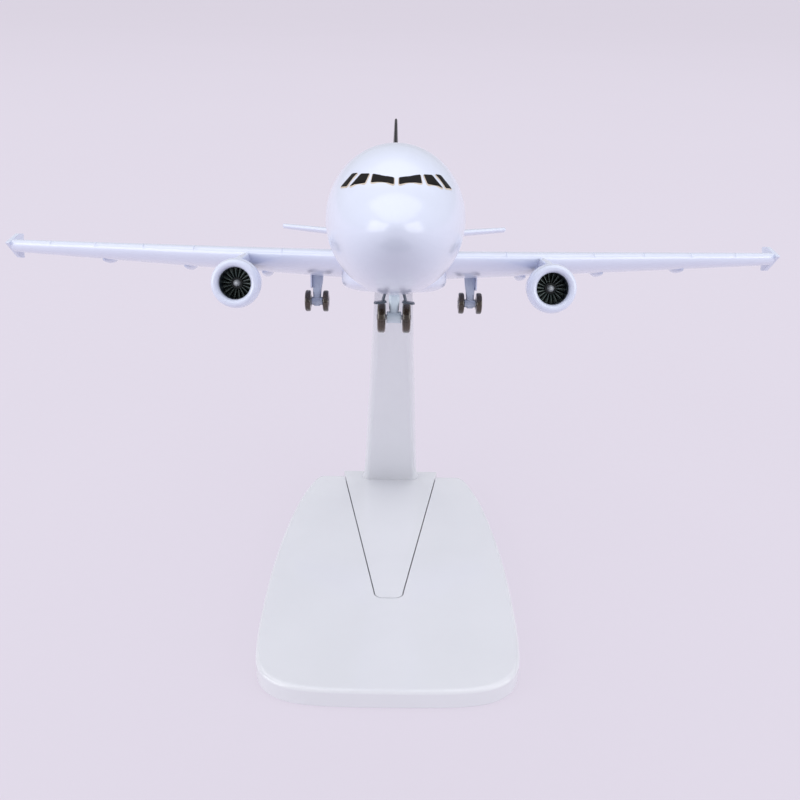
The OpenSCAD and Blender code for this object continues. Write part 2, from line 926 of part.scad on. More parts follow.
module nose_axle() {
    color(steel)
        in_flight()
            rod_x(-nose_pair - nose_w / 2 - 0.1, nose_pair + nose_w / 2 + 0.1, nose_gear_s, nose_gear_z, axle_r);
}

module nose_tyres() {
    color(bronze)
        in_flight()
            for (side = [-1, 1])
                tyre(side * nose_pair, nose_gear_s, nose_gear_z, nose_r, nose_w);
}

module nose_hubs() {
    color(paint_dark)
        in_flight()
            for (side = [-1, 1])
                hub(side * nose_pair, nose_gear_s, nose_gear_z, nose_r, nose_w);
}

module nose_doors() {
    color(gear_grey)
        in_flight()
            difference() {
                for (m = [0, 1])
                    mirror([m, 0, 0])
                        rotate([90, 0, 0])
                            translate([0, 0, 2.5 - nose_gear_s])
                                linear_extrude(4.8)
                                    polygon([[1.2, -11.2], [1.55, -11.25], [1.55, -10], [1.85, -10],
                                        [1.85, -11.3], [2.85, -11.45], [2.85, -11.7], [1.2, -11.45]]);
                fuselage_solid();
            }
}

module main_leg(side) {
    color(gear_grey)
        in_flight()
            mirror([side < 0 ? 1 : 0, 0, 0])
                difference() {
                    union() {
                        difference() {
                            leg(main_x, main_s, main_z, -5, 0.85, 1.15);
                            wing_solid();
                        }
                        gear_peg(0);
                    }
                    translate([main_x, main_s, wing_axis_z(main_x, main_s) + 0.2])
                        cylinder(r = 3, h = 10);
                }
}

module main_door(side) {
    color(paint_white)
        in_flight()
            mirror([side < 0 ? 1 : 0, 0, 0])
                difference() {
                    translate([main_x + 0.75, main_s - 1.5, main_z + 2.6])
                        cube([0.4, 3, 5.5]);
                    wing_solid();
                    translate([main_x, main_s, main_z])
                        cylinder(r = 0.85, h = 12);
                    translate([main_x - 5, main_s - 5, wing_axis_z(main_x, main_s)])
                        cube([10, 10, 5]);
                }
}

module main_axle(side) {
    reach = main_pair + main_w / 2 + 0.1;
    color(steel)
        in_flight()
            rod_x(side * main_x - reach, side * main_x + reach, main_s, main_z, axle_r);
}

module main_tyres(side) {
    color(bronze)
        in_flight()
            for (k = [-1, 1])
                tyre(side * main_x + k * main_pair, main_s, main_z, main_r, main_w);
}

module main_hubs(side) {
    color(paint_dark)
        in_flight()
            for (k = [-1, 1])
                hub(side * main_x + k * main_pair, main_s, main_z, main_r, main_w);
}

module main_leg_right() { main_leg(-1); }
module main_door_right() { main_door(-1); }
module main_axle_right() { main_axle(-1); }
module main_tyres_right() { main_tyres(-1); }
module main_hubs_right() { main_hubs(-1); }
module main_leg_left() { main_leg(1); }
module main_door_left() { main_door(1); }
module main_axle_left() { main_axle(1); }
module main_tyres_left() { main_tyres(1); }
module main_hubs_left() { main_hubs(1); }

// ---------------------------------------------------------------- nodes

stand_base();
base_cover();
base_screws();
stand_arm();
fuselage_upper();
fuselage_lower();
fuselage_screws();
cockpit_panes();
belly_fairing();
mount_socket();
wing_box();
wing_box_screws();
wing_left();
wing_right();
fence_left();
fence_right();
flap_tracks_left();
flap_tracks_right();
stabiliser_left();
stabiliser_right();
fin();
pylon_left();
nacelle_left();
inlet_lip_left();
fan_left();
spinner_left();
fan_shaft_left();
engine_core_left();
exhaust_cone_left();
pylon_right();
nacelle_right();
inlet_lip_right();
fan_right();
spinner_right();
fan_shaft_right();
engine_core_right();
exhaust_cone_right();
nose_leg();
nose_axle();
nose_tyres();
nose_hubs();
nose_doors();
main_leg_left();
main_door_left();
main_axle_left();
main_tyres_left();
main_hubs_left();
main_leg_right();
main_door_right();
main_axle_right();
main_tyres_right();
main_hubs_right();
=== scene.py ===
"""Looks of the desktop airliner model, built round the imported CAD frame.

Shapes are worked out in millimetres and placed in metres. Aircraft shapes use the aircraft's own axes:
x towards its left wing tip, s aft of the nose, z up. Stand shapes use the frame's axes.
"""

import json
import math

import bmesh
import bpy
from mathutils import Matrix, Quaternion, Vector


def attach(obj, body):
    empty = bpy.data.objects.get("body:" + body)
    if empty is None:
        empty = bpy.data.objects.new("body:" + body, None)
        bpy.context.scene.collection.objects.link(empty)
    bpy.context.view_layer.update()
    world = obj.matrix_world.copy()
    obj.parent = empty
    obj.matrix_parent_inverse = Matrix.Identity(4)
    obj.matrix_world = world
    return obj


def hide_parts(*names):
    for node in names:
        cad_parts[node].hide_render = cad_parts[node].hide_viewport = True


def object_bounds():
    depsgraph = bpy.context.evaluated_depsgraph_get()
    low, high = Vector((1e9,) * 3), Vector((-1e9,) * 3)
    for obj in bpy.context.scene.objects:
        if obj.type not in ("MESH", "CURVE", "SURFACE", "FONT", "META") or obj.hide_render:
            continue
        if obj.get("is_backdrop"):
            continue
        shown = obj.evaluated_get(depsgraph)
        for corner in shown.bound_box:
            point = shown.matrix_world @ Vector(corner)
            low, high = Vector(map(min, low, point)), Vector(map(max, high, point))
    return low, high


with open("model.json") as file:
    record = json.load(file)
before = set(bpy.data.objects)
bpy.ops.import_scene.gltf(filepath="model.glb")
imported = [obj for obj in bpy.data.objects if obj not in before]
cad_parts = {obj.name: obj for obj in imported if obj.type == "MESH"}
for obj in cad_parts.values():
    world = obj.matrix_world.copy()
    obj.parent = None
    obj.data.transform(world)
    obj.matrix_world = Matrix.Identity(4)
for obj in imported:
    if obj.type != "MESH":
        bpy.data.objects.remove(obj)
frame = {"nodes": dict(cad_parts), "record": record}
cad_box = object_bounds()

# ---------------------------------------------------------------- placing

NOSE_UP = math.radians(16)
NOSE_AHEAD = 84.9
NOSE_HEIGHT = 111
STAND = Matrix.Scale(0.001, 4)
FLIGHT = STAND @ Matrix.Translation((0, -NOSE_AHEAD, NOSE_HEIGHT)) @ Matrix.Rotation(-NOSE_UP, 4, "X")
SIDES = ((1, "left"), (-1, "right"))

# ---------------------------------------------------------------- materials


def link(tree, start, end):
    tree.links.new(start, end)


def noise(tree, scale, detail, stretch=(1, 1, 1)):
    """Noise on the object's own coordinates, with scale in features per metre."""
    place = tree.nodes.new("ShaderNodeTexCoord")
    mapping = tree.nodes.new("ShaderNodeMapping")
    mapping.inputs["Scale"].default_value = stretch
    texture = tree.nodes.new("ShaderNodeTexNoise")
    texture.inputs["Scale"].default_value = scale
    texture.inputs["Detail"].default_value = detail
    link(tree, place.outputs["Object"], mapping.inputs["Vector"])
    link(tree, mapping.outputs["Vector"], texture.inputs["Vector"])
    return texture.outputs["Fac"]


def blend_colours(tree, factor, low, high):
    ramp = tree.nodes.new("ShaderNodeValToRGB")
    ramp.color_ramp.elements[0].position = 0.35
    ramp.color_ramp.elements[0].color = (*low, 1)
    ramp.color_ramp.elements[1].position = 0.65
    ramp.color_ramp.elements[1].color = (*high, 1)
    link(tree, factor, ramp.inputs["Fac"])
    return ramp.outputs["Color"]


def spread(tree, factor, low, high):
    """The factor's 0.3 to 0.7 spread over low to high."""
    node = tree.nodes.new("ShaderNodeMapRange")
    node.inputs["From Min"].default_value = 0.3
    node.inputs["From Max"].default_value = 0.7
    node.inputs["To Min"].default_value = low
    node.inputs["To Max"].default_value = high
    link(tree, factor, node.inputs["Value"])
    return node.outputs["Result"]


def finish(name, colours, rough, grain, depth, patches=55, stretch=(1, 1, 1), **sockets):
    """Procedural finish: two colours in slow patches, with roughness and a fine bump that both follow a finer
    grain.
    """
    material = bpy.data.materials.new(name)
    material.use_nodes = True
    tree = material.node_tree
    shader = tree.nodes["Principled BSDF"]
    slow = noise(tree, patches, 3)
    fine = noise(tree, grain, 2, stretch)
    link(tree, blend_colours(tree, slow, *colours), shader.inputs["Base Color"])
    link(tree, spread(tree, fine, *rough), shader.inputs["Roughness"])
    bump = tree.nodes.new("ShaderNodeBump")
    bump.inputs["Strength"].default_value = 0.35
    bump.inputs["Distance"].default_value = depth
    link(tree, fine, bump.inputs["Height"])
    link(tree, bump.outputs["Normal"], shader.inputs["Normal"])
    for socket, value in sockets.items():
        shader.inputs[socket.replace("_", " ")].default_value = value
    return material


MATERIALS = {
    "white_enamel": finish(
        "white_enamel", ((0.68, 0.72, 0.86), (0.70, 0.74, 0.88)), (0.2, 0.27), 900, 0.000006,
        Coat_Weight=0.5, Coat_Roughness=0.18, IOR=1.5),
    "white_plastic": finish(
        "white_plastic", ((0.72, 0.725, 0.765), (0.74, 0.745, 0.785)), (0.1, 0.17), 700, 0.000012,
        Coat_Weight=0.4, Coat_Roughness=0.03, IOR=1.5),
    "black_enamel": finish(
        "black_enamel", ((0.003, 0.003, 0.004), (0.006, 0.006, 0.008)), (0.22, 0.32), 900, 0.00002,
        Specular_IOR_Level=0.2),
    "pane_grey": finish(
        "pane_grey", ((0.003, 0.002, 0.002), (0.008, 0.006, 0.005)), (0.3, 0.4), 500, 0.00001,
        patches=240, Specular_IOR_Level=0.06),
    "dark_enamel": finish(
        "dark_enamel", ((0.012, 0.014, 0.016), (0.03, 0.034, 0.034)), (0.25, 0.42), 2200, 0.00002,
        patches=500, Metallic=0.3),
    "gear_enamel": finish(
        "gear_enamel", ((0.42, 0.48, 0.62), (0.5, 0.56, 0.68)), (0.28, 0.42), 2600, 0.00002,
        patches=300, Coat_Weight=0.3),
    "bronze_plastic": finish(
        "bronze_plastic", ((0.03, 0.019, 0.011), (0.06, 0.038, 0.02)), (0.14, 0.24), 1800, 0.00003,
        patches=600, Coat_Weight=1.0, Coat_Roughness=0.06, Metallic=0.3),
    "hub_plastic": finish(
        "hub_plastic", ((0.03, 0.022, 0.018), (0.06, 0.045, 0.035)), (0.3, 0.45), 2000, 0.00002,
        patches=600),
    "screw_steel": finish(
        "screw_steel", ((0.5, 0.51, 0.52), (0.62, 0.62, 0.62)), (0.24, 0.4), 1500, 0.00001,
        patches=400, stretch=(1, 8, 8), Metallic=1.0),
    "bare_casting": finish(
        "bare_casting", ((0.5, 0.5, 0.52), (0.62, 0.62, 0.64)), (0.4, 0.6), 3000, 0.00005,
        patches=300, Metallic=0.9),
    "black_plastic": finish(
        "black_plastic", ((0.022, 0.022, 0.024), (0.04, 0.04, 0.042)), (0.45, 0.6), 4000, 0.00004,
        patches=300),
}
# Tan band round each cockpit pane, wider along its lower edge
PANE_BAND_TAN = finish(
    "pane_band_tan", ((0.5, 0.42, 0.34), (0.6, 0.52, 0.44)), (0.25, 0.35), 1500, 0.00001, patches=300)
BLADE_GREY = finish(
    "blade_grey", ((0.1, 0.13, 0.12), (0.22, 0.26, 0.24)), (0.18, 0.3), 2600, 0.00002,
    patches=500, stretch=(1, 1, 5), Metallic=0.9)
# Lighter, bluer copy of the gear enamel for the nose leg: painted light, standing in for the front light and
# the glow off the white column
LEG_PAINTED_LIGHT = finish(
    "leg_painted_light", ((0.74, 0.86, 0.95), (0.78, 0.9, 0.98)), (0.28, 0.4), 2600, 0.00002,
    patches=300, Coat_Weight=0.3)
# Near-black copy of the gear enamel for the open nose doors: painted shade, for the shade they sit in under
# the nose
DOOR_PAINTED_SHADE = finish(
    "door_painted_shade", ((0.05, 0.065, 0.09), (0.08, 0.1, 0.13)), (0.3, 0.42), 2200, 0.00002, patches=400)
LINER_NAVY = finish(
    "liner_navy", ((0.008, 0.012, 0.02), (0.014, 0.02, 0.03)), (0.3, 0.42), 2000, 0.00001, patches=400)
SPINNER_PALE = finish(
    "spinner_pale", ((0.5, 0.53, 0.55), (0.62, 0.65, 0.66)), (0.22, 0.3), 1800, 0.00001, patches=400)

# ---------------------------------------------------------------- mesh helpers


def add_piece(name, shape, place, body, slot, stands_for=(), material=None, sharp=32):
    """New mesh object from (points in mm, faces), riding on a CAD body."""
    points, faces = shape
    mesh = bpy.data.meshes.new(name)
    mesh.from_pydata([place @ Vector(p) for p in points], [], faces)
    even_out(mesh)
    mesh.materials.append(material or MATERIALS[slot])
    piece = bpy.data.objects.new(name, mesh)
    bpy.context.scene.collection.objects.link(piece)
    smooth(piece, sharp)
    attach(piece, body)
    if stands_for:
        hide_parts(*stands_for)
    return piece


def even_out(mesh):
    """Faces of a closed mesh turned outwards."""
    work = bmesh.new()
    work.from_mesh(mesh)
    bmesh.ops.recalc_face_normals(work, faces=work.faces)
    work.to_mesh(mesh)
    work.free()


def smooth(piece, sharp):
    piece.data.shade_smooth()
    piece.data.set_sharp_from_angle(angle=math.radians(sharp))


def soften(piece, width, segments=3):
    """Small rounded edges with flat faces kept flat."""
    bevel = piece.modifiers.new("edges", "BEVEL")
    bevel.width = width * 0.001
    bevel.segments = segments
    bevel.limit_method = "ANGLE"
    bevel.angle_limit = math.radians(28)
    flatten(piece)


def flatten(piece):
    weighted = piece.modifiers.new("flats", "WEIGHTED_NORMAL")
    weighted.keep_sharp = True


def carve(piece, *cutters):
    """Cuts closed shapes, given as (points, faces, place), out of a piece."""
    tools = []
    for points, faces, place in cutters:
        mesh = bpy.data.meshes.new("cutter")
        mesh.from_pydata([place @ Vector(p) for p in points], [], faces)
        even_out(mesh)
        tool = bpy.data.objects.new("cutter", mesh)
        bpy.context.scene.collection.objects.link(tool)
        tools.append(tool)
        cut = piece.modifiers.new("cut", "BOOLEAN")
        cut.operation = "DIFFERENCE"
        cut.solver = "EXACT"
        cut.use_self = True
        cut.object = tool
    ready = piece.evaluated_get(bpy.context.evaluated_depsgraph_get())
    carved = bpy.data.meshes.new_from_object(ready)
    piece.modifiers.clear()
    piece.data = carved
    for tool in tools:
        bpy.data.objects.remove(tool)


def join(*shapes):
    """Several (points, faces) shapes as one."""
    points, faces = [], []
    for more_points, more_faces in shapes:
        start = len(points)
        points += more_points
        faces += [tuple(i + start for i in face) for face in more_faces]
    return points, faces


def moved(shape, x, s, z):
    return [(p[0] + x, p[1] + s, p[2] + z) for p in shape[0]], shape[1]


def turned(shape, matrix):
    return [tuple(matrix @ Vector(p)) for p in shape[0]], shape[1]


def mirrored(shape, side):
    return [(p[0] * side, p[1], p[2]) for p in shape[0]], shape[1]


def loft(rings):
    """Closed skin through rings that all have the same number of points."""
    count = len(rings[0])
    last = (len(rings) - 1) * count
    faces = []
    for j in range(0, last, count):
        for i in range(count):
            k = (i + 1) % count
            faces.append((j + i, j + k, j + count + k, j + count + i))
    faces.append(tuple(range(count)))
    faces.append(tuple(last + i for i in range(count)))
    return [p for ring in rings for p in ring], faces


def prism(outline, low, high):
    """Flat outline of (x, y) pairs, pulled up from low to high."""
    return loft([[(x, y, z) for x, y in outline] for z in (low, high)])


def lathe(outline, segments=96, looped=False):
    """Outline of (radius, distance) pairs turned round the s axis. Radius 0 is a pole."""
    points, rings = [], []
    for radius, along in outline:
        if radius < 1e-5:
            rings.append([len(points)] * segments)
            points.append((0, along, 0))
            continue
        rings.append(list(range(len(points), len(points) + segments)))
        for i in range(segments):
            angle = 2 * math.pi * i / segments
            points.append((radius * math.cos(angle), along, radius * math.sin(angle)))
    pairs = list(zip(rings, rings[1:]))
    if looped:
        pairs.append((rings[-1], rings[0]))
    faces = []
    for low, high in pairs:
        for i in range(segments):
            k = (i + 1) % segments
            face = tuple(dict.fromkeys((low[i], low[k], high[k], high[i])))
            if len(face) > 2:
                faces.append(face)
    return points, faces


def across(shape):
    """A lathed shape laid along x instead of s."""
    return [(p[1], p[0], p[2]) for p in shape[0]], shape[1]


def mix(low, high, t):
    return low + (high - low) * t


def smooth_lookup(table, at):
    """Smooth curve through the table's (place, value) pairs."""
    k = 0
    while k < len(table) - 2 and at > table[k + 1][0]:
        k += 1
    (x0, y0), (x1, y1) = table[k], table[k + 1]
    before, after = table[max(k - 1, 0)], table[min(k + 2, len(table) - 1)]
    run = x1 - x0
    t = min(1, max(0, (at - x0) / run))
    start = run * (y1 - before[1]) / (x1 - before[0])
    end = run * (after[1] - y0) / (after[0] - x0)
    return (y0 * (2 * t**3 - 3 * t**2 + 1) + start * (t**3 - 2 * t**2 + t)
            + y1 * (3 * t**2 - 2 * t**3) + end * (t**3 - t**2))


def smooth_path(points, before, after, parts):
    """Catmull-Rom curve through points, with a guide point beyond each end."""
    guides = [before, *points, after]
    path = []
    for k in range(1, len(guides) - 2):
        p0, p1, p2, p3 = (Vector(g) for g in guides[k - 1:k + 3])
        for step in range(parts):
            t = step / parts
            path.append(tuple(0.5 * (2 * p1 + (p2 - p0) * t + (2 * p0 - 5 * p1 + 4 * p2 - p3) * t**2
                                     + (3 * p1 - p0 - 3 * p2 + p3) * t**3)))
    return [*path, tuple(points[-1])]


def rounded(outline, radius, parts=6):
    """Closed outline with its corners rounded."""
    path = []
    count = len(outline)
    for k in range(count):
        corner = Vector(outline[k])
        back = Vector(outline[k - 1]) - corner
        ahead = Vector(outline[(k + 1) % count]) - corner
        start = corner + back * min(0.45, radius / back.length)
        end = corner + ahead * min(0.45, radius / ahead.length)
        for step in range(parts + 1):
            t = step / parts
            path.append(tuple(start * (1 - t) ** 2 + corner * 2 * t * (1 - t) + end * t**2))
    return path


def with_lines(steps, lines, half):
    """Grid steps with a narrow groove's three lines at each mark."""
    marks = sorted({mark + off for mark in lines for off in (-half, 0, half)})
    kept = [s for s in steps if all(abs(s - mark) > 1.2 * half for mark in marks)]
    return sorted(kept + marks)


def even_steps(low, high, count):
    return [mix(low, high, k / count) for k in range(count + 1)]


# ---------------------------------------------------------------- fuselage

FUS_LEN = 188
FUS_HW = 9.8
FUS_HH = 10.5
NOSE_LEN = 26
NOSE_DROP = 2
TAIL_START = 126
NOSE_TOPS = [(0, -2), (0.4, -0.75), (1, 0), (2, 0.95), (3.5, 2.05), (5, 2.95), (6.5, 3.9), (8, 5),
             (9.5, 6.1), (11, 7.1), (13, 8.2), (16, 9.35), (20, 10.15), (23, 10.4), (26, 10.5)]
GROOVE = 0.09
GROOVE_DEPTH = 0.06
DOOR_DEPTH = 0.025
# Engraved doors: start and end station, start and end angle round the ring in degrees, on one or both sides
DOORS = [(33, 37.2, -8, 38, 0), (150.5, 154.3, 0, 42, 0), (78, 80.6, 6, 40, 0), (85, 87.6, 6, 40, 0),
         (45, 53, -55, -22, -1), (117, 125, -55, -22, -1)]


def nose_fill(t):
    return (1 - (1 - min(1, max(0, t))) ** 2.2) ** 0.55


def tail_t(s):
    return min(1, max(0, (s - TAIL_START) / (FUS_LEN - TAIL_START)))


def fus_section(s):
    """Half width, top and bottom of the fuselage at a station."""
    if s >= NOSE_LEN:
        t = tail_t(s)
        return FUS_HW * (1 - 0.88 * t**1.7), FUS_HH - 3.65 * t**3.2, -FUS_HH + 15.15 * t**1.6
    top = 2 * math.sqrt(s) - NOSE_DROP if s < 1 else smooth_lookup(NOSE_TOPS, s)
    low = -NOSE_DROP - (FUS_HH - NOSE_DROP) * nose_fill(s / (NOSE_LEN - 3))
    return max(0.12, FUS_HW * nose_fill(s / NOSE_LEN)), max(top, -1.9), min(low, -2.1)


def door_depth(s, angle):
    """Groove depth of the engraved doors at a station and an angle in degrees."""
    for start, end, low, high, only in DOORS:
        for side in (1, -1):
            if only and side != only:
                continue
            a, b = (low, high) if side > 0 else (180 - high, 180 - low)
            turn = angle if side < 0 or angle <= 180 else angle - 360
            turn = turn if side > 0 else angle
            within_s = start - 0.01 <= s <= end + 0.01
            within_a = a - 0.01 <= turn <= b + 0.01
            on_s = min(abs(s - start), abs(s - end)) < 0.02
            on_a = min(abs(turn - a), abs(turn - b)) < 0.02
            if (on_s and within_a) or (on_a and within_s):
                return DOOR_DEPTH
    return 0


def fus_ring(s, angles, scale=1.0):
    half_w, top, low = fus_section(min(s, FUS_LEN))
    mid, half_h = (top + low) / 2, (top - low) / 2
    ring = []
    for angle in angles:
        cut = door_depth(s, angle)
        turn = math.radians(angle)
        ring.append(((half_w * scale - cut) * math.cos(turn), min(s, FUS_LEN),
                     mid + (half_h * scale - cut) * math.sin(turn)))
    return ring


def fuselage():
    door_angles = set()
    for _, _, low, high, _ in DOORS:
        for edge in (low, high):
            door_angles |= {edge % 360, (180 - edge) % 360}
    angles = with_lines([360 * i / 96 for i in range(96)], door_angles, 0.6)
    nose = [NOSE_LEN * (k / 44) ** 2 for k in range(1, 44)]
    body = even_steps(NOSE_LEN, TAIL_START, 16)[:-1]
    tail = even_steps(TAIL_START, FUS_LEN - 0.4, 30)
    marks = [edge for door in DOORS for edge in door[:2]]
    stations = with_lines(nose + body + tail, marks, GROOVE)
    rings = [fus_ring(0, angles)] + [fus_ring(s, angles) for s in stations]
    rings += [fus_ring(FUS_LEN - 0.12, angles, 0.97), fus_ring(FUS_LEN, angles, 0.86)]
    exhaust = fus_ring(FUS_LEN, angles, 0.6)
    rings += [exhaust, [(x * 0.92, s - 2.4, z) for x, s, z in exhaust]]
    return loft(rings)


SOCKET_S = 90
TAB_W = 5.6
TAB_T = 2.4
BELLY_Z = -11.4


def socket_hole(grow):
    outline = rounded([(-TAB_W / 2 - grow, SOCKET_S - TAB_T / 2 - grow),
                       (TAB_W / 2 + grow, SOCKET_S - TAB_T / 2 - grow),
                       (TAB_W / 2 + grow, SOCKET_S + TAB_T / 2 + grow),
                       (-TAB_W / 2 - grow, SOCKET_S + TAB_T / 2 + grow)], 0.25)
    return (*prism(outline, BELLY_Z - 2, -5.05), FLIGHT)


carve(add_piece("fuselage_skin", fuselage(), FLIGHT, "airframe", "white_enamel",
                ("fuselage_upper", "fuselage_lower"), sharp=50), socket_hole(0.1))

FAIRING_CUTS = [(53, 3.5, -9.9), (57, 7, -10.6), (62, 9.1, -11.1), (68, 9.9, BELLY_Z), (81, 9.9, BELLY_Z),
                (94, 9.9, BELLY_Z), (103, 9, -11.1), (110, 7, -10.6), (116, 3.5, -9.9)]


def squared(angle):
    """Point of a rounded square outline at an angle."""
    x, z = math.cos(angle), math.sin(angle)
    return math.copysign(abs(x) ** 0.6, x), math.copysign(abs(z) ** 0.6, z)


def belly_fairing():
    widths = [(s, w) for s, w, _ in FAIRING_CUTS]
    floors = [(s, z) for s, _, z in FAIRING_CUTS]
    rings = []
    for s in even_steps(53, 116, 64):
        top, low = -5.9, smooth_lookup(floors, s)
        width = smooth_lookup(widths, s)
        ring = []
        for i in range(80):
            x, z = squared(2 * math.pi * (i + 0.5) / 80)
            ring.append((width * x, s, (top + low) / 2 + (top - low) / 2 * z))
        rings.append(ring)
    return loft(rings)


carve(add_piece("belly_fairing_skin", belly_fairing(), FLIGHT, "airframe", "white_enamel",
                ("belly_fairing",), sharp=50), socket_hole(0.1))

# ---------------------------------------------------------------- cockpit windows

PANES = [[(0.3, 3.4), (0.3, 4.35), (2.95, 4.9), (3.15, 3.7)],
         [(3.35, 4.95), (4.45, 5), (5.85, 3.35), (3.85, 3.65)],
         [(4.9, 5.15), (5.6, 5.15), (7.1, 3.45), (6.25, 3.4)]]


def nose_point(x, z):
    """Point of the nose's surface at x, z seen from the front."""
    low, high = 0.0, float(NOSE_LEN)
    for _ in range(36):
        s = (low + high) / 2
        half_w, top, bottom = fus_section(s)
        out = (x / half_w) ** 2 + ((2 * z - top - bottom) / (top - bottom)) ** 2 > 1
        low, high = (s, high) if out else (low, s)
    return Vector((x, high, z))


def on_nose(x, z, proud):
    """The same point, lifted off the surface."""
    step = 0.02
    point = nose_point(x, z)
    normal = (nose_point(x + step, z) - point).cross(nose_point(x, z + step) - point).normalized()
    if normal.y > 0:
        normal.negate()
    return tuple(point + normal * proud)


def nose_patch(outline, proud):
    """Thin plate that follows the nose inside an outline, with a soft rim."""
    cx = sum(p[0] for p in outline) / len(outline)
    cz = sum(p[1] for p in outline) / len(outline)
    rings = []
    for share, lift in ((0.15, 1), (0.4, 1), (0.65, 1), (0.85, 1), (0.95, 0.9), (1, 0.4), (1, -2)):
        rings.append([on_nose(mix(cx, x, share), mix(cz, z, share), proud * lift) for x, z in outline])
    return loft(rings)


def grown(outline, amount):
    count = len(outline)
    area = sum(outline[k - 1][0] * outline[k][1] - outline[k][0] * outline[k - 1][1] for k in range(count))
    way = math.copysign(amount, area)
    wider = []
    for k in range(count):
        run = Vector(outline[(k + 1) % count]) - Vector(outline[k - 1])
        run.normalize()
        wider.append((outline[k][0] + way * run.y, outline[k][1] - way * run.x))
    return wider


def cockpit():
    panes, bands = [], []
    for side in (1, -1):
        for pane in PANES:
            outline = rounded([(side * x, z) for x, z in pane], 0.16, 5)
            panes.append(nose_patch(outline, 0.06))
            # Tan band round each pane, lowered so it shows wider below the pane
            bands.append(nose_patch([(x, z - 0.1) for x, z in grown(outline, 0.1)], 0.025))
    add_piece("cockpit_pane_set", join(*panes), FLIGHT, "airframe", "pane_grey", ("cockpit_panes",))
    add_piece("cockpit_pane_band", join(*bands), FLIGHT, "airframe", "pane_grey", material=PANE_BAND_TAN)


cockpit()

# ---------------------------------------------------------------- wings

HALF_SPAN = 85.4
LE_ROOT = 60
SWEEP = math.tan(math.radians(27.5))
KINK_X = 32
WING_Z_ROOT = -6.8
WING_Z_TIP = -3.6
INCIDENCE = math.tan(math.radians(7.6))
SLAT_GAPS = (21, 39.5, 51, 62.5, 74)
SLAT_U = 0.15
FLAP_U = 0.72
FLAP_ENDS = (12.5, KINK_X, 60, 80)
SPOILER_U = 0.6
SPOILER_ENDS = (34, 42, 50, 58)


def wing_le(x):
    return LE_ROOT + (x - FUS_HW) * SWEEP


def by_span(x, root, kink, tip):
    if x < KINK_X:
        return mix(root, kink, (x - FUS_HW) / (KINK_X - FUS_HW))
    return mix(kink, tip, (x - KINK_X) / (HALF_SPAN - KINK_X))


def wing_chord(x):
    return by_span(x, 30, 19, 7.5)


def wing_thick(x):
    return by_span(x, 4.1, 4, 2.55)


def wing_mid_z(x):
    return mix(WING_Z_ROOT, WING_Z_TIP, (x - FUS_HW) / (HALF_SPAN - FUS_HW))


def wing_axis_z(x, s):
    """Height of the chord line at a span position and station."""
    return wing_mid_z(x) + (wing_le(x) + 0.5 * wing_chord(x) - s) * INCIDENCE


def foil_half(u):
    root = 0.2969 * math.sqrt(u) - 0.126 * u - 0.3516 * u**2 + 0.2843 * u**3 - 0.1015 * u**4
    return 5 * root + 0.03 * u


def near(value, marks):
    return any(abs(value - mark) < 1e-4 for mark in marks)


def wing_depth(x, u, upper):
    """Groove depth of slat, flap, aileron and spoiler lines."""
    inside = 11 < x < 82
    if upper and u <= SLAT_U + 1e-4 and near(x, SLAT_GAPS):
        return 0.16
    if upper and inside and near(u, (SLAT_U,)):
        return GROOVE_DEPTH
    if near(u, (FLAP_U,)) and FLAP_ENDS[0] <= x <= FLAP_ENDS[-1]:
        return GROOVE_DEPTH * 1.3
    if u >= FLAP_U and near(x, FLAP_ENDS):
        return GROOVE_DEPTH * 1.3
    if upper and near(u, (SPOILER_U,)) and SPOILER_ENDS[0] <= x <= SPOILER_ENDS[-1]:
        return GROOVE_DEPTH
    if upper and SPOILER_U <= u <= FLAP_U and near(x, SPOILER_ENDS):
        return GROOVE_DEPTH
    return 0


def foil_ring(u_steps, place):
    """Ring round a foil section: place(u, across, upper) gives each point."""
    lower = [place(u, -1) for u in reversed(u_steps)]
    return lower + [place(u, 1) for u in u_steps[1:]]


def wing_ring(x, u_steps):
    chord, thick = wing_chord(x), wing_thick(x)

    def place(u, way):
        cut = min(wing_depth(x, u, way > 0), 0.4 * thick * foil_half(u))
        along = u * chord
        height = way * (thick * foil_half(u) - cut)
        return x, wing_le(x) + along, wing_axis_z(x, wing_le(x) + along) + height

    return foil_ring(u_steps, place)


def wing():
    base_steps = [(1 - math.cos(math.pi * k / 30)) / 2 for k in range(31)]
    u_steps = with_lines(base_steps, (SLAT_U, SPOILER_U, FLAP_U), 0.006)
    marks = set(SLAT_GAPS) | set(FLAP_ENDS) | set(SPOILER_ENDS)
    stations = with_lines(even_steps(7, HALF_SPAN - 0.8, 40), marks, GROOVE)
    return loft([wing_ring(x, u_steps) for x in stations])


def fence():
    front = wing_le(HALF_SPAN) - 1.6
    z = WING_Z_TIP + 0.45
    outline = [(front, z + 0.3), (front + 6.2, z + 2.5), (front + 9, z + 2.5), (front + 8.4, z),
               (front + 9, z - 2.9), (front + 6.6, z - 2.9)]
    outline = rounded(outline, 0.5, 4)
    rings = [[(x, s, z_at) for s, z_at in outline] for x in (HALF_SPAN - 0.8, HALF_SPAN)]
    return loft(rings)


TRACKS = [(26.2, 13, 1), (43, 11.5, 0.9), (62, 10, 0.8)]
TRACK_SHAPE = [(0, 0.3), (0.1, 0.6), (0.3, 0.87), (0.5, 1), (0.72, 0.85), (0.9, 0.5), (1, 0.15)]


def flap_tracks():
    shapes = []
    for x, length, radius in TRACKS:
        chord = wing_chord(x)
        aft = wing_le(x) + chord + 2
        z = wing_axis_z(x, aft - 2 - 0.15 * chord) - 0.95
        outline = [(0, aft - length)]
        outline += [(radius * smooth_lookup(TRACK_SHAPE, t), aft - length * (1 - t))
                    for t in even_steps(0, 1, 28)]
        outline.append((0, aft))
        shapes.append(moved(lathe(outline, 40), x, 0, z))
    return join(*shapes)


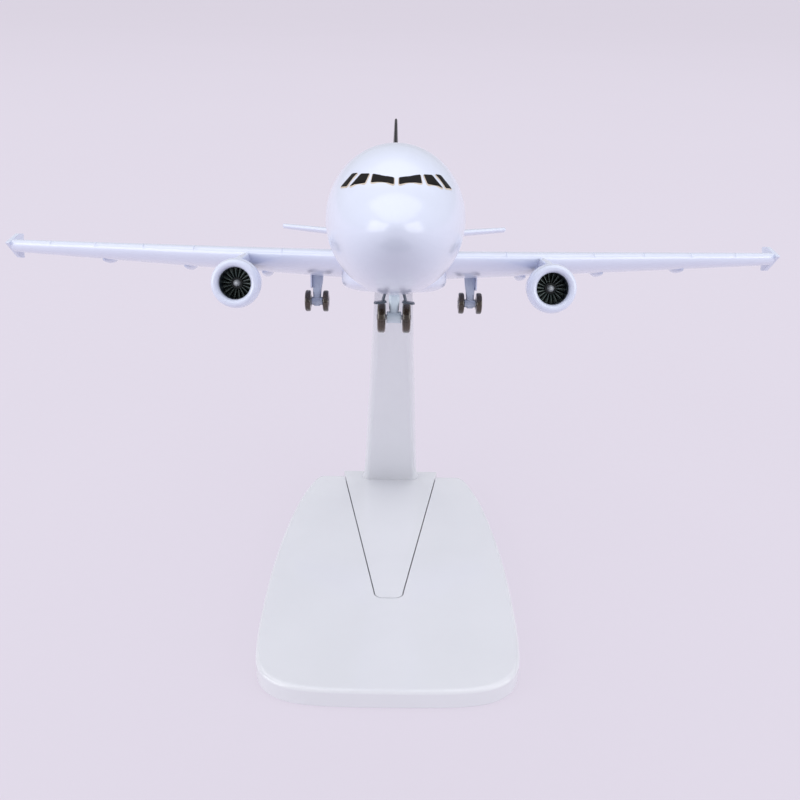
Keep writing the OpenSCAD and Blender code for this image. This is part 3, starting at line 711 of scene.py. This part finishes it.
for side, label in SIDES:
    add_piece(f"wing_{label}_skin", mirrored(wing(), side), FLIGHT, "airframe", "white_enamel",
              (f"wing_{label}",), sharp=40)
    plate = add_piece(f"fence_{label}_plate", mirrored(fence(), side), FLIGHT, "airframe", "white_enamel",
                      (f"fence_{label}",))
    soften(plate, 0.24)
    add_piece(f"flap_tracks_{label}_set", mirrored(flap_tracks(), side), FLIGHT, "airframe", "white_enamel",
              (f"flap_tracks_{label}",))

# ---------------------------------------------------------------- tail

TAIL_HALF = 34
TAIL_Z = 1.5
FIN_TOP = 37.2
HINGE_U = 0.68


def surface_ring(u_steps, chord, thick, place, groove_at=None):
    def spot(u, way):
        cut = GROOVE_DEPTH if groove_at is not None and near(u, (groove_at,)) else 0
        cut = min(cut, 0.4 * thick * foil_half(u))
        return place(u * chord, way * (thick * foil_half(u) - cut))

    return foil_ring(u_steps, spot)


def tip_shrink(t):
    """How a rounded tip closes: share of the chord and thickness left at t from 0 to 1."""
    return math.sqrt(max(0.0, 1 - t * t * 0.985))


def stabiliser():
    u_steps = with_lines([(1 - math.cos(math.pi * k / 22)) / 2 for k in range(23)], (HINGE_U,), 0.008)
    rings = []
    for k in range(25):
        x = mix(0.05, TAIL_HALF - 0.7, k / 24)
        rings.append(tail_section(x, u_steps, 1))
    for k in range(1, 7):
        rings.append(tail_section(TAIL_HALF - 0.7 + 0.6 * k / 6, u_steps, tip_shrink(k / 6)))
    return loft(rings)


def tail_section(x, u_steps, scale):
    t = x / TAIL_HALF
    chord = mix(18.5, 7, t) * (0.7 + 0.3 * scale)
    thick = mix(2.6, 1.5, t) * scale
    start = 155.5 + x * math.tan(math.radians(31)) + mix(18.5, 7, t) * 0.25 * (1 - scale)
    lift = TAIL_Z + x * math.tan(math.radians(5.9))
    groove = HINGE_U if 3 < x < TAIL_HALF - 1.5 else None
    return surface_ring(u_steps, chord, thick, lambda along, up: (x, start + along, lift + up), groove)


def fin_section(z, u_steps, scale):
    t = (z - 8.5) / (FIN_TOP - 8.5)
    chord = mix(32, 9, t) * (0.75 + 0.25 * scale)
    thick = mix(2.9, 0.8, t) * scale
    start = mix(149, 176.5, t) + mix(32, 9, t) * 0.2 * (1 - scale)
    groove = HINGE_U if 11 < z < FIN_TOP - 1.5 else None
    return surface_ring(u_steps, chord, thick, lambda along, out: (-out, start + along, z), groove)


def fin():
    u_steps = with_lines([(1 - math.cos(math.pi * k / 24)) / 2 for k in range(25)], (HINGE_U,), 0.006)
    rings = [fin_section(mix(6.2, FIN_TOP - 0.6, k / 24), u_steps, 1) for k in range(25)]
    rings += [fin_section(FIN_TOP - 0.6 + 0.6 * k / 6, u_steps, tip_shrink(k / 6)) for k in range(1, 7)]
    return loft(rings)


for side, label in SIDES:
    add_piece(f"stabiliser_{label}_skin", mirrored(stabiliser(), side), FLIGHT, "airframe", "white_enamel",
              (f"stabiliser_{label}",), sharp=40)
add_piece("fin_skin", fin(), FLIGHT, "airframe", "black_enamel", ("fin",), sharp=40)

# ---------------------------------------------------------------- engines

ENGINE_X = 28.2
ENGINE_Z = -9.95
ENGINE_S = 55.5
NACELLE_R = 4.45
THROAT_R = 2.85
HUB_R = 1.05
FAN_BLADES = 18
SHAFT_R = 0.45
RUNNING_GAP = 0.05
DUCT_S = ENGINE_S + 1.8
FAN_S = ENGINE_S + 3.4
CORE_S = FAN_S + 1.9
NOZZLE_S = ENGINE_S + 15.3
COWL = [(DUCT_S, NACELLE_R - 0.03), (ENGINE_S + 2.4, NACELLE_R), (ENGINE_S + 4, NACELLE_R - 0.12),
        (ENGINE_S + 6.2, NACELLE_R - 0.4), (ENGINE_S + 10, NACELLE_R - 0.9), (NOZZLE_S, NACELLE_R - 1.6)]


def cowl_outline():
    stations = with_lines(even_steps(DUCT_S + 0.05, NOZZLE_S, 34), (ENGINE_S + 6.4, ENGINE_S + 11.2), 0.09)
    outer = []
    for s in stations:
        cut = GROOVE_DEPTH if near(s, (ENGINE_S + 6.4, ENGINE_S + 11.2)) else 0
        outer.append((smooth_lookup(COWL, s) - cut, s))
    inner = [(NACELLE_R - 1.8, NOZZLE_S), (NACELLE_R - 1.85, NOZZLE_S - 0.3), (THROAT_R - 0.1, CORE_S + 4),
             (THROAT_R, CORE_S + 1.6), (THROAT_R, DUCT_S + 0.05)]
    return [(NACELLE_R - 0.11, DUCT_S + 0.02), *outer, *inner]


def lip_outline():
    mid = (NACELLE_R + THROAT_R) / 2 - 0.1
    half = mid - THROAT_R
    bow = []
    for k in range(33):
        a = math.pi * (1 - k / 32)
        bow.append((mid + half * math.cos(a), ENGINE_S + 1 - math.sin(a)))
    outside = [(ENGINE_S + 1, mid + half), (ENGINE_S + 1.4, NACELLE_R - 0.1), (DUCT_S, NACELLE_R - 0.03)]
    flank = [(smooth_lookup(outside, s), s) for s in even_steps(ENGINE_S + 1.1, DUCT_S - 0.05, 8)]
    return [(THROAT_R, DUCT_S), *bow, *flank, (NACELLE_R - 0.11, DUCT_S)]


def blade(index):
    """One fan blade, twisted from root to tip and slightly cupped."""
    rings = []
    for k in range(9):
        t = k / 8
        radius = mix(HUB_R - 0.15, THROAT_R - 0.16, t)
        pitch = math.radians(mix(28, 58, t))
        chord = mix(0.8, 1.15, t)
        ring = []
        for a in range(16):
            turn = 2 * math.pi * a / 16
            along = 0.5 * chord * math.cos(turn)
            thick = 0.055 * math.sin(turn) + 0.08 * (1 - (2 * along / chord) ** 2)
            wide = along * math.sin(pitch) + thick * math.cos(pitch)
            deep = along * math.cos(pitch) - thick * math.sin(pitch)
            ring.append((wide, deep, math.sqrt(max(0.01, radius**2 - wide**2))))
        rings.append(ring)
    return turned(loft(rings), Matrix.Rotation(2 * math.pi * index / FAN_BLADES, 4, "Y"))


def pylon():
    """Strut between cowl and wing, round in front and thin behind."""
    le = wing_le(ENGINE_X)
    top_z = wing_axis_z(ENGINE_X, le)
    tops = [(ENGINE_S + 3.6, ENGINE_Z + NACELLE_R - 0.35), (ENGINE_S + 6, ENGINE_Z + NACELLE_R + 0.25),
            (ENGINE_S + 9.5, top_z - 0.2), (le - 0.3, top_z + 0.25), (le + 1.2, top_z + 0.1),
            (le + 2.5, top_z - 0.5), (le + 11, top_z - 2.4)]
    lows = [(ENGINE_S + 3.6, ENGINE_Z + NACELLE_R - 0.55), (ENGINE_S + 8, ENGINE_Z + 3.35),
            (NOZZLE_S, ENGINE_Z + 2.45), (NOZZLE_S + 3, ENGINE_Z + 2.05), (le + 7, top_z - 3.3),
            (le + 11, top_z - 3.15)]
    rings = []
    start, end = ENGINE_S + 3.6, le + 11
    for t in even_steps(0, 1, 40):
        s = mix(start, end, t)
        half = 0.65 * min(1, math.sqrt(t / 0.12 + 0.02)) * (1 - 0.8 * max(0, (t - 0.55) / 0.45) ** 1.5)
        high, low = smooth_lookup(tops, s), smooth_lookup(lows, s)
        ring = []
        for i in range(28):
            x, z = squared(2 * math.pi * (i + 0.5) / 28)
            ring.append((ENGINE_X + half * x, s, (high + low) / 2 + (high - low) / 2 * z))
        rings.append(ring)
    return loft(rings)


def engine(side, label):
    def at_axis(shape):
        return moved(shape, side * ENGINE_X, 0, ENGINE_Z)

    fan_body = f"fan_{label}_set"
    add_piece(f"inlet_lip_{label}_ring", at_axis(lathe(lip_outline(), 112, True)), FLIGHT, "airframe",
              "white_enamel", (f"inlet_lip_{label}",))
    add_piece(f"nacelle_{label}_cowl", at_axis(lathe(cowl_outline(), 112, True)), FLIGHT, "airframe",
              "white_enamel", (f"nacelle_{label}",))
    liner = [(THROAT_R + 0.02, ENGINE_S + 1.25), (THROAT_R - 0.05, ENGINE_S + 1.3),
             (THROAT_R - 0.07, ENGINE_S + 1.6), (THROAT_R - 0.07, CORE_S), (THROAT_R + 0.02, CORE_S)]
    add_piece(f"inlet_liner_{label}", at_axis(lathe(liner, 112, True)), FLIGHT, "airframe", "dark_enamel",
              material=LINER_NAVY)
    core = [(SHAFT_R + RUNNING_GAP, CORE_S), (THROAT_R - 0.01, CORE_S), (THROAT_R - 0.01, CORE_S + 1.2),
            (2, CORE_S + 1.6), (2.08, CORE_S + 4), (2.05, NOZZLE_S - 2), (1.97, NOZZLE_S),
            (1.85, NOZZLE_S + 1.2), (1.78, NOZZLE_S + 1.22), (1.6, NOZZLE_S + 0.6), (1.5, CORE_S + 5),
            (SHAFT_R + RUNNING_GAP, CORE_S + 5)]
    add_piece(f"engine_core_{label}_case", at_axis(lathe(core, 80, True)), FLIGHT, "airframe",
              "dark_enamel", (f"engine_core_{label}",))
    plug = [(0, CORE_S + 5.6), (1.5, CORE_S + 5.6), (1.5, NOZZLE_S + 0.9), (1.42, NOZZLE_S + 1.5),
            (1.2, NOZZLE_S + 2.2), (0.85, NOZZLE_S + 3.1), (0.5, NOZZLE_S + 4), (0.28, NOZZLE_S + 4.5),
            (0.1, NOZZLE_S + 4.6), (0, NOZZLE_S + 4.6)]
    add_piece(f"exhaust_cone_{label}_plug", at_axis(lathe(plug, 64)), FLIGHT, "airframe", "dark_enamel",
              (f"exhaust_cone_{label}",))
    blades = [moved(blade(i), 0, FAN_S + 0.62, 0) for i in range(FAN_BLADES)]
    hub = lathe([(SHAFT_R, FAN_S), (HUB_R - 0.06, FAN_S), (HUB_R, FAN_S + 0.08), (HUB_R, FAN_S + 1.22),
                 (HUB_R - 0.06, FAN_S + 1.3), (SHAFT_R, FAN_S + 1.3)], 64, True)
    add_piece(f"fan_{label}_blades", at_axis(join(*blades)), FLIGHT, fan_body, "dark_enamel",
              (f"fan_{label}",), BLADE_GREY)
    add_piece(f"fan_{label}_hub", at_axis(hub), FLIGHT, fan_body, "dark_enamel")
    nose = [(0, FAN_S - 1.2)] + [(0.65 * math.sin(a), FAN_S - 1.2 * math.cos(a))
                                 for a in even_steps(0.12, math.pi / 2, 14)] + [(0, FAN_S)]
    add_piece(f"spinner_{label}_cap", at_axis(lathe(nose, 64)), FLIGHT, fan_body, "gear_enamel",
              (f"spinner_{label}",), SPINNER_PALE)
    add_piece(f"pylon_{label}_strut", mirrored(pylon(), side), FLIGHT, "airframe", "white_enamel",
              (f"pylon_{label}",), sharp=45)


for side, label in SIDES:
    engine(side, label)

# ---------------------------------------------------------------- landing gear

AXLE_R = 0.4
BORE_HALF = 3
# One tread groove: offset across the tyre over its width, radius over the tyre's radius
TREAD_GROOVE = [(-0.06, 0.995), (-0.035, 0.995), (-0.02, 0.968), (0.02, 0.968), (0.035, 0.995), (0.06, 0.995)]


def tyre_outline(r, w):
    """Half-round tyre section with three tread grooves."""
    shoulder = [(r * 0.5, -w * 0.36), (r * 0.56, -w * 0.44), (r * 0.66, -w * 0.5), (r * 0.84, -w * 0.5),
                (r * 0.91, -w * 0.46), (r * 0.96, -w * 0.38)]
    tread = []
    for mark in (-0.2, 0, 0.2):
        tread += [(r * radius, w * (mark + off)) for off, radius in TREAD_GROOVE]
    other = [(radius, -along) for radius, along in reversed(shoulder)]
    return shoulder + tread + other


def hub_outline(r, w):
    face = [(AXLE_R, 0.4), (AXLE_R + 0.18, 0.4), (AXLE_R + 0.2, 0.3), (r * 0.42, 0.24), (r * 0.455, 0.38),
            (r * 0.5, 0.4)]
    inner = [(radius, along * w) for radius, along in face]
    return inner + [(radius, -along * w) for radius, along in reversed(face)]


def tapered_leg(cuts):
    """Leg through (z, half width, half depth) cuts, with rounded sides."""
    rings = []
    for z, half_w, half_d in cuts:
        ring = []
        for i in range(32):
            x, s = squared(2 * math.pi * (i + 0.5) / 32)
            ring.append((half_w * x, half_d * s, z))
        rings.append(ring)
    return loft(rings)


def sleeve(half):
    bore = AXLE_R + RUNNING_GAP
    outline = [(bore, -half), (0.78, -half), (0.85, -half + 0.08), (0.85, half - 0.08), (0.78, half),
               (bore, half)]
    return across(lathe(outline, 48, True))


def axle_bore(x, s, z):
    """Solid that carves the axle's hole through a leg."""
    radius = AXLE_R + RUNNING_GAP
    solid = across(lathe([(0, -BORE_HALF), (radius, -BORE_HALF), (radius, BORE_HALF), (0, BORE_HALF)], 48))
    return moved(solid, x, s, z)


def link_plate(x, s_top, z_top, s_low, z_low, thick):
    """Half of a scissor link, as a flat bar between two heights."""
    outline = [(s_top - 0.22, z_top), (s_top + 0.22, z_top), (s_low + 0.22, z_low), (s_low - 0.22, z_low)]
    return loft([[(x + off, s, z) for s, z in outline] for off in (-thick / 2, thick / 2)])


def wheel_pair(name, body, x, s, z, r, w, pair, nodes):
    tyre = across(lathe(tyre_outline(r, w), 96, True))
    rim = across(lathe(hub_outline(r, w), 64, True))
    spots = [x - pair, x + pair]
    add_piece(f"{name}_tyre_pair", join(*[moved(tyre, spot, s, z) for spot in spots]), FLIGHT, body,
              "bronze_plastic", (nodes[0],), sharp=40)
    add_piece(f"{name}_hub_pair", join(*[moved(rim, spot, s, z) for spot in spots]), FLIGHT, body,
              "hub_plastic", (nodes[1],))


MAIN_X = 16
MAIN_S = 86.5
MAIN_Z = -13.95
MAIN_R = 2.25
MAIN_W = 1.2
MAIN_PAIR = 1.85
NOSE_GEAR_S = 25.6
NOSE_GEAR_Z = -13.8
NOSE_R = 2.3
NOSE_W = 1.2
NOSE_PAIR = 1.8


def main_gear(side, label):
    z = MAIN_Z
    post = tapered_leg([(z - 1.05, 0.55, 0.5), (z - 0.8, 0.72, 0.66), (z + 0.6, 0.8, 0.72),
                        (z + 2.4, 0.9, 0.72), (z + 3.8, 1.15, 0.8), (z + 5, 1.25, 0.85), (z + 6, 1.25, 0.85)])
    links = [link_plate(0, 0.75, z + 3.2, 1.5, z + 2.1, 0.5), link_plate(0, 1.5, z + 2.2, 0.75, z + 0.7, 0.5)]
    shape = moved(join(post, *links), MAIN_X, MAIN_S, 0)
    shape = join(shape, moved(sleeve(1.15), MAIN_X, MAIN_S, z))
    leg = add_piece(f"main_leg_{label}_strut", mirrored(shape, side), FLIGHT, "airframe", "gear_enamel",
                    (f"main_leg_{label}",))
    carve(leg, (*axle_bore(side * MAIN_X, MAIN_S, z), FLIGHT))
    outline = rounded([(-1.5, z + 2.7), (1.5, z + 2.7), (1.9, z + 6), (-1.9, z + 6)], 0.4, 4)
    door = loft([[(MAIN_X + x, MAIN_S + s, z_at) for s, z_at in outline] for x in (1.0, 1.3)])
    plate = add_piece(f"main_door_{label}_plate", mirrored(door, side), FLIGHT, "airframe", "white_enamel",
                      (f"main_door_{label}",))
    soften(plate, 0.1)
    wheel_pair(f"main_{label}", f"main_wheels_{label}", side * MAIN_X, MAIN_S, z, MAIN_R, MAIN_W, MAIN_PAIR,
               (f"main_tyres_{label}", f"main_hubs_{label}"))


def nose_gear():
    z = NOSE_GEAR_Z
    post = tapered_leg([(z + 0.3, 0.55, 0.6), (z + 1.2, 0.7, 0.65), (z + 2.6, 0.8, 0.7), (z + 5, 0.85, 0.8)])
    links = [link_plate(0, 0.7, z + 2.6, 1.35, z + 1.8, 0.45),
             link_plate(0, 1.35, z + 1.9, 0.7, z + 0.7, 0.45)]
    shape = join(moved(join(post, *links), 0, NOSE_GEAR_S, 0), moved(sleeve(1.05), 0, NOSE_GEAR_S, z))
    # The nose leg takes the lighter, bluer copy of the gear enamel, which carries painted light
    leg = add_piece("nose_leg_strut", shape, FLIGHT, "airframe", "gear_enamel", ("nose_leg",), LEG_PAINTED_LIGHT)
    carve(leg, (*axle_bore(0, NOSE_GEAR_S, z), FLIGHT))
    wheel_pair("nose", "nose_wheels", 0, NOSE_GEAR_S, z, NOSE_R, NOSE_W, NOSE_PAIR,
               ("nose_tyres", "nose_hubs"))


def nose_doors():
    """Open doors ahead of the nose wheels: a flat leaf each side, hung on a web that leans outwards."""
    start, end = NOSE_GEAR_S - 7.1, NOSE_GEAR_S - 2.5
    leaf = rounded([(1.2, -11.2), (2.85, -11.42), (2.85, -11.68), (1.2, -11.45)], 0.08, 3)
    web = [(1.25, -10.1), (1.5, -10.1), (1.85, -11.4), (1.6, -11.4)]
    leaves = []
    for outline, gap in ((leaf, 0), (web, 0.25)):
        rings = []
        for t in even_steps(0, 1, 12):
            ease = 1 - 0.12 * max(0, 1 - t / 0.25) ** 2
            rings.append([(x * ease, mix(start + gap, end - gap, t), z) for x, z in outline])
        for side in (1, -1):
            leaves.append(mirrored(loft(rings), side))
    # The doors take the near-black copy of the gear enamel, which carries painted shade
    add_piece("nose_door_pair", join(*leaves), FLIGHT, "airframe", "gear_enamel", ("nose_doors",), DOOR_PAINTED_SHADE,
              sharp=40)


nose_gear()
nose_doors()
for side, label in SIDES:
    main_gear(side, label)

# ---------------------------------------------------------------- stand

BASE_DEPTH = 90
BASE_WIDTH = 57.6
BASE_THICK = 4.4
COVER_THICK = 1.2
BASE_HALF = [(0.2, -1), (0.45, -0.995), (0.66, -0.978), (0.8, -0.945), (0.9, -0.89), (0.955, -0.82),
             (0.98, -0.74), (0.995, -0.6), (1, -0.42), (0.993, -0.12), (0.975, 0.1), (0.945, 0.32),
             (0.9, 0.55), (0.842, 0.75), (0.765, 0.92), (0.72, 0.98), (0.68, 1)]
SLOT_REAR = 13.3
SLOT_FRONT = 3.5
SLOT_DEPTH = 58.7
SLOT_CORNER = 2.2
SLOT_GAP = 0.22
SLOT_LIP = 0.7
ARM_LOW_W = 15.3
ARM_TOP_W = 8.1
ARM_THICK = 3.4
LIP_Z = COVER_THICK + 1.2


def base_outline(inset):
    w, d = BASE_WIDTH / 2 - inset, BASE_DEPTH / 2 - inset
    half = smooth_path(BASE_HALF, (-0.05, -1), (0.62, 1), 6)
    left = [(-x * w, y * d) for x, y in half]
    return left + [(x * w, y * d) for x, y in reversed(half)]


def base_body():
    edge = 0.9
    levels = [(0.25, 0), (0.08, 0.08), (0, 0.3), (0, BASE_THICK - edge)]
    for k in range(1, 9):
        a = math.pi / 2 * k / 8
        levels.append((edge * (1 - math.cos(a)), BASE_THICK - edge + edge * math.sin(a)))
    return loft([[(x, y, z) for x, y in base_outline(inset)] for inset, z in levels])


def wedge_outline(grow, rear):
    """Wedge widened by grow, with a flat narrow end whose corners are rounded."""
    slope = (SLOT_REAR - SLOT_FRONT) / (SLOT_DEPTH - SLOT_CORNER)
    x0, y0 = SLOT_FRONT - SLOT_CORNER, BASE_DEPTH / 2 - SLOT_DEPTH + SLOT_CORNER
    side = SLOT_REAR - (BASE_DEPTH / 2 - rear) * slope + grow
    r = SLOT_CORNER + grow
    corner = [(x0 + r * math.cos(a), y0 - r * math.sin(a)) for a in even_steps(0, math.pi / 2, 14)]
    return [(side, rear), *corner, *[(-x, y) for x, y in reversed(corner)], (-side, rear)]


def wedge(levels, rear):
    return loft([[(x, y, z) for x, y in wedge_outline(grow, rear)] for grow, z in levels])


slot_cut = wedge([(SLOT_LIP, COVER_THICK - 0.1), (SLOT_LIP, LIP_Z), (0, LIP_Z), (0, BASE_THICK - 0.14),
                  (0.16, BASE_THICK + 0.02), (0.16, BASE_THICK + 1)], BASE_DEPTH)
cover_cut = prism([(x, y) for x, y in base_outline(1.7)], -1, COVER_THICK)
base = add_piece("stand_base_moulding", base_body(), STAND, "stand", "white_plastic", ("stand_base",))
carve(base, (*slot_cut, STAND), (*cover_cut, STAND))
flatten(base)


def flown(s, z):
    """Frame position (y, z) of a point in the plane of symmetry."""
    y = -NOSE_AHEAD + s * math.cos(NOSE_UP) + z * math.sin(NOSE_UP)
    return y, NOSE_HEIGHT - s * math.sin(NOSE_UP) + z * math.cos(NOSE_UP)


def arm_column():
    """Tapered column, leaning forward from the foot and cut flush with the belly."""
    foot_y, foot_z = BASE_DEPTH / 2 + 0.6, BASE_THICK - 1
    head_y, head_z = flown(SOCKET_S, BELLY_Z)
    run, rise = head_y - foot_y, head_z - foot_z
    length = math.hypot(run, rise)
    lean = Matrix.Translation((0, foot_y, foot_z)) @ Matrix.Rotation(math.atan2(-run, rise), 4, "X")
    up = lean.to_3x3() @ Vector((0, 0, 1))
    out = Vector((0, math.sin(NOSE_UP), math.cos(NOSE_UP)))
    head = Vector((0, head_y, head_z))
    rings = []
    for t in even_steps(0, 1, 36):
        flare = 0.9 * max(0, 1 - t * length / 4.2) ** 2
        half_w = mix(ARM_LOW_W, ARM_TOP_W, t) / 2 + flare
        half_t = ARM_THICK / 2 + flare
        straight = half_w - half_t
        ring = []
        for i in range(64):
            a = 2 * math.pi * i / 64
            x = half_t * math.cos(a) + math.copysign(straight, math.cos(a))
            ring.append(lean @ Vector((x, half_t * math.sin(a), t * length)))
        rings.append(ring)
    rings[-1] = [p + up * ((head - p).dot(out) / up.dot(out)) for p in rings[-1]]
    return loft([[tuple(p) for p in ring] for ring in rings])


def arm_tab():
    outline = rounded([(-TAB_W / 2, SOCKET_S - TAB_T / 2), (TAB_W / 2, SOCKET_S - TAB_T / 2),
                       (TAB_W / 2, SOCKET_S + TAB_T / 2), (-TAB_W / 2, SOCKET_S + TAB_T / 2)], 0.2)
    tip = [(x * 0.95, mix(SOCKET_S, s, 0.88)) for x, s in outline]
    levels = [(outline, BELLY_Z - 1.2), (outline, BELLY_Z + 5.9), (tip, BELLY_Z + 6.2)]
    return loft([[(x, s, z) for x, s in ring] for ring, z in levels])


foot = wedge([(SLOT_LIP - SLOT_GAP, COVER_THICK + 0.05), (SLOT_LIP - SLOT_GAP, LIP_Z - SLOT_GAP),
              (-SLOT_GAP, LIP_Z - SLOT_GAP), (-SLOT_GAP, BASE_THICK - 0.14),
              (-SLOT_GAP - 0.05, BASE_THICK - 0.04), (-SLOT_GAP - 0.16, BASE_THICK)], BASE_DEPTH / 2 + 2.6)
tab = turned(arm_tab(), Matrix.Scale(1000, 4) @ FLIGHT)
arm = add_piece("stand_arm_moulding", join(foot, arm_column(), tab), STAND, "arm", "white_plastic",
                ("stand_arm",), sharp=40)
flatten(arm)

# ---------------------------------------------------------------- CAD nodes that stay

SLOTS = {row["node"]: row["material_slot"] for row in frame["record"]["subparts"]}
for node, piece in frame["nodes"].items():
    piece.data.materials.clear()
    piece.data.materials.append(MATERIALS[SLOTS[node]])

# ---------------------------------------------------------------- floor, light and camera

CAMERA_PLACE = (-0.0003, -0.1924, 0.1352)
# Pitch down, yaw to the right and roll, in degrees
CAMERA_TURN = (24.2, 0.64, 1.19)
CAMERA_LENS = 41.93
FLAG_PLACE = (0, -0.122, 0.076)
FLAG_TILT = -78
FLAG_WIDTH = 0.052
FLAG_HEIGHT = 0.06
SIDE_LIGHT_AIM = (0, -0.08, 0.11)
SIDE_LIGHT_COLOUR = (0.98, 0.99, 1.0)


def stage_floor():
    """Pale floor just under the stand. A little light of its own keeps it even, like a lit studio table."""
    mesh = bpy.data.meshes.new("floor")
    far = 40
    level = -0.0002
    corners = [(-far, -far, level), (far, -far, level), (far, far, level), (-far, far, level)]
    mesh.from_pydata(corners, [], [(0, 1, 2, 3)])
    mesh.materials.append(finish("floor_card", ((0.12, 0.116, 0.135), (0.124, 0.12, 0.139)), (0.8, 0.9), 400,
                                 0.00001, patches=3, Emission_Color=(0.73, 0.675, 0.775, 1),
                                 Emission_Strength=0.84, Specular_IOR_Level=0.2))
    floor = bpy.data.objects.new("floor", mesh)
    bpy.context.scene.collection.objects.link(floor)
    floor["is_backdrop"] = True


def stage_flag():
    """Dark card, nearly flat, ahead of and below the nose, which it shades. The camera can't see it."""
    lean = Matrix.Translation(FLAG_PLACE) @ Matrix.Rotation(math.radians(FLAG_TILT), 4, "X")
    mesh = bpy.data.meshes.new("flag")
    half_w, half_h = FLAG_WIDTH / 2, FLAG_HEIGHT / 2
    corners = [(-half_w, 0, -half_h), (half_w, 0, -half_h), (half_w, 0, half_h), (-half_w, 0, half_h)]
    mesh.from_pydata([lean @ Vector(c) for c in corners], [], [(0, 1, 2, 3)])
    mesh.materials.append(MATERIALS["black_plastic"])
    flag = bpy.data.objects.new("flag", mesh)
    flag.visible_camera = False
    bpy.context.scene.collection.objects.link(flag)
    flag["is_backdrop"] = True


def area_light(name, place, aim, size, power, colour):
    data = bpy.data.lights.new(name, "AREA")
    data.shape = "RECTANGLE"
    data.size, data.size_y = size
    data.energy = power
    data.color = colour
    lamp = bpy.data.objects.new(name, data)
    lamp.location = place
    lamp.visible_camera = False
    lamp.rotation_euler = (Vector(aim) - Vector(place)).to_track_quat("-Z", "Y").to_euler()
    bpy.context.scene.collection.objects.link(lamp)


def stage_world():
    world = bpy.data.worlds.new("studio")
    world.use_nodes = True
    bpy.context.scene.world = world
    sky = world.node_tree.nodes["Background"]
    sky.inputs["Color"].default_value = (0.95, 0.96, 1.0, 1)
    sky.inputs["Strength"].default_value = 0.56


def stage_camera():
    data = bpy.data.cameras.new("camera")
    data.sensor_width = 36
    data.lens = CAMERA_LENS
    data.clip_start = 0.005
    data.clip_end = 200
    camera = bpy.data.objects.new("camera", data)
    pitch, yaw, roll = (math.radians(angle) for angle in CAMERA_TURN)
    ahead = Vector((math.sin(yaw) * math.cos(pitch), math.cos(yaw) * math.cos(pitch), -math.sin(pitch)))
    camera.location = CAMERA_PLACE
    camera.rotation_mode = "QUATERNION"
    camera.rotation_quaternion = ahead.to_track_quat("-Z", "Y") @ Quaternion((0, 0, 1), roll)
    bpy.context.scene.collection.objects.link(camera)
    bpy.context.scene.camera = camera


stage_floor()
stage_flag()
stage_world()
stage_camera()
area_light("overhead", (0, 0, 1.7), (0, 0, 0), (3.2, 3.2), 25, (0.99, 0.99, 1.0))
area_light("side_left", (1.0, -0.5, 0.42), SIDE_LIGHT_AIM, (1.0, 0.7), 5, SIDE_LIGHT_COLOUR)
area_light("side_right", (-1.0, -0.5, 0.42), SIDE_LIGHT_AIM, (1.1, 0.75), 6, SIDE_LIGHT_COLOUR)
bpy.context.scene.view_settings.view_transform = "Standard"

look_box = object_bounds()
boxes = {"cad": cad_box, "look": look_box}
{name: [list(corner) for corner in box] for name, box in boxes.items()}
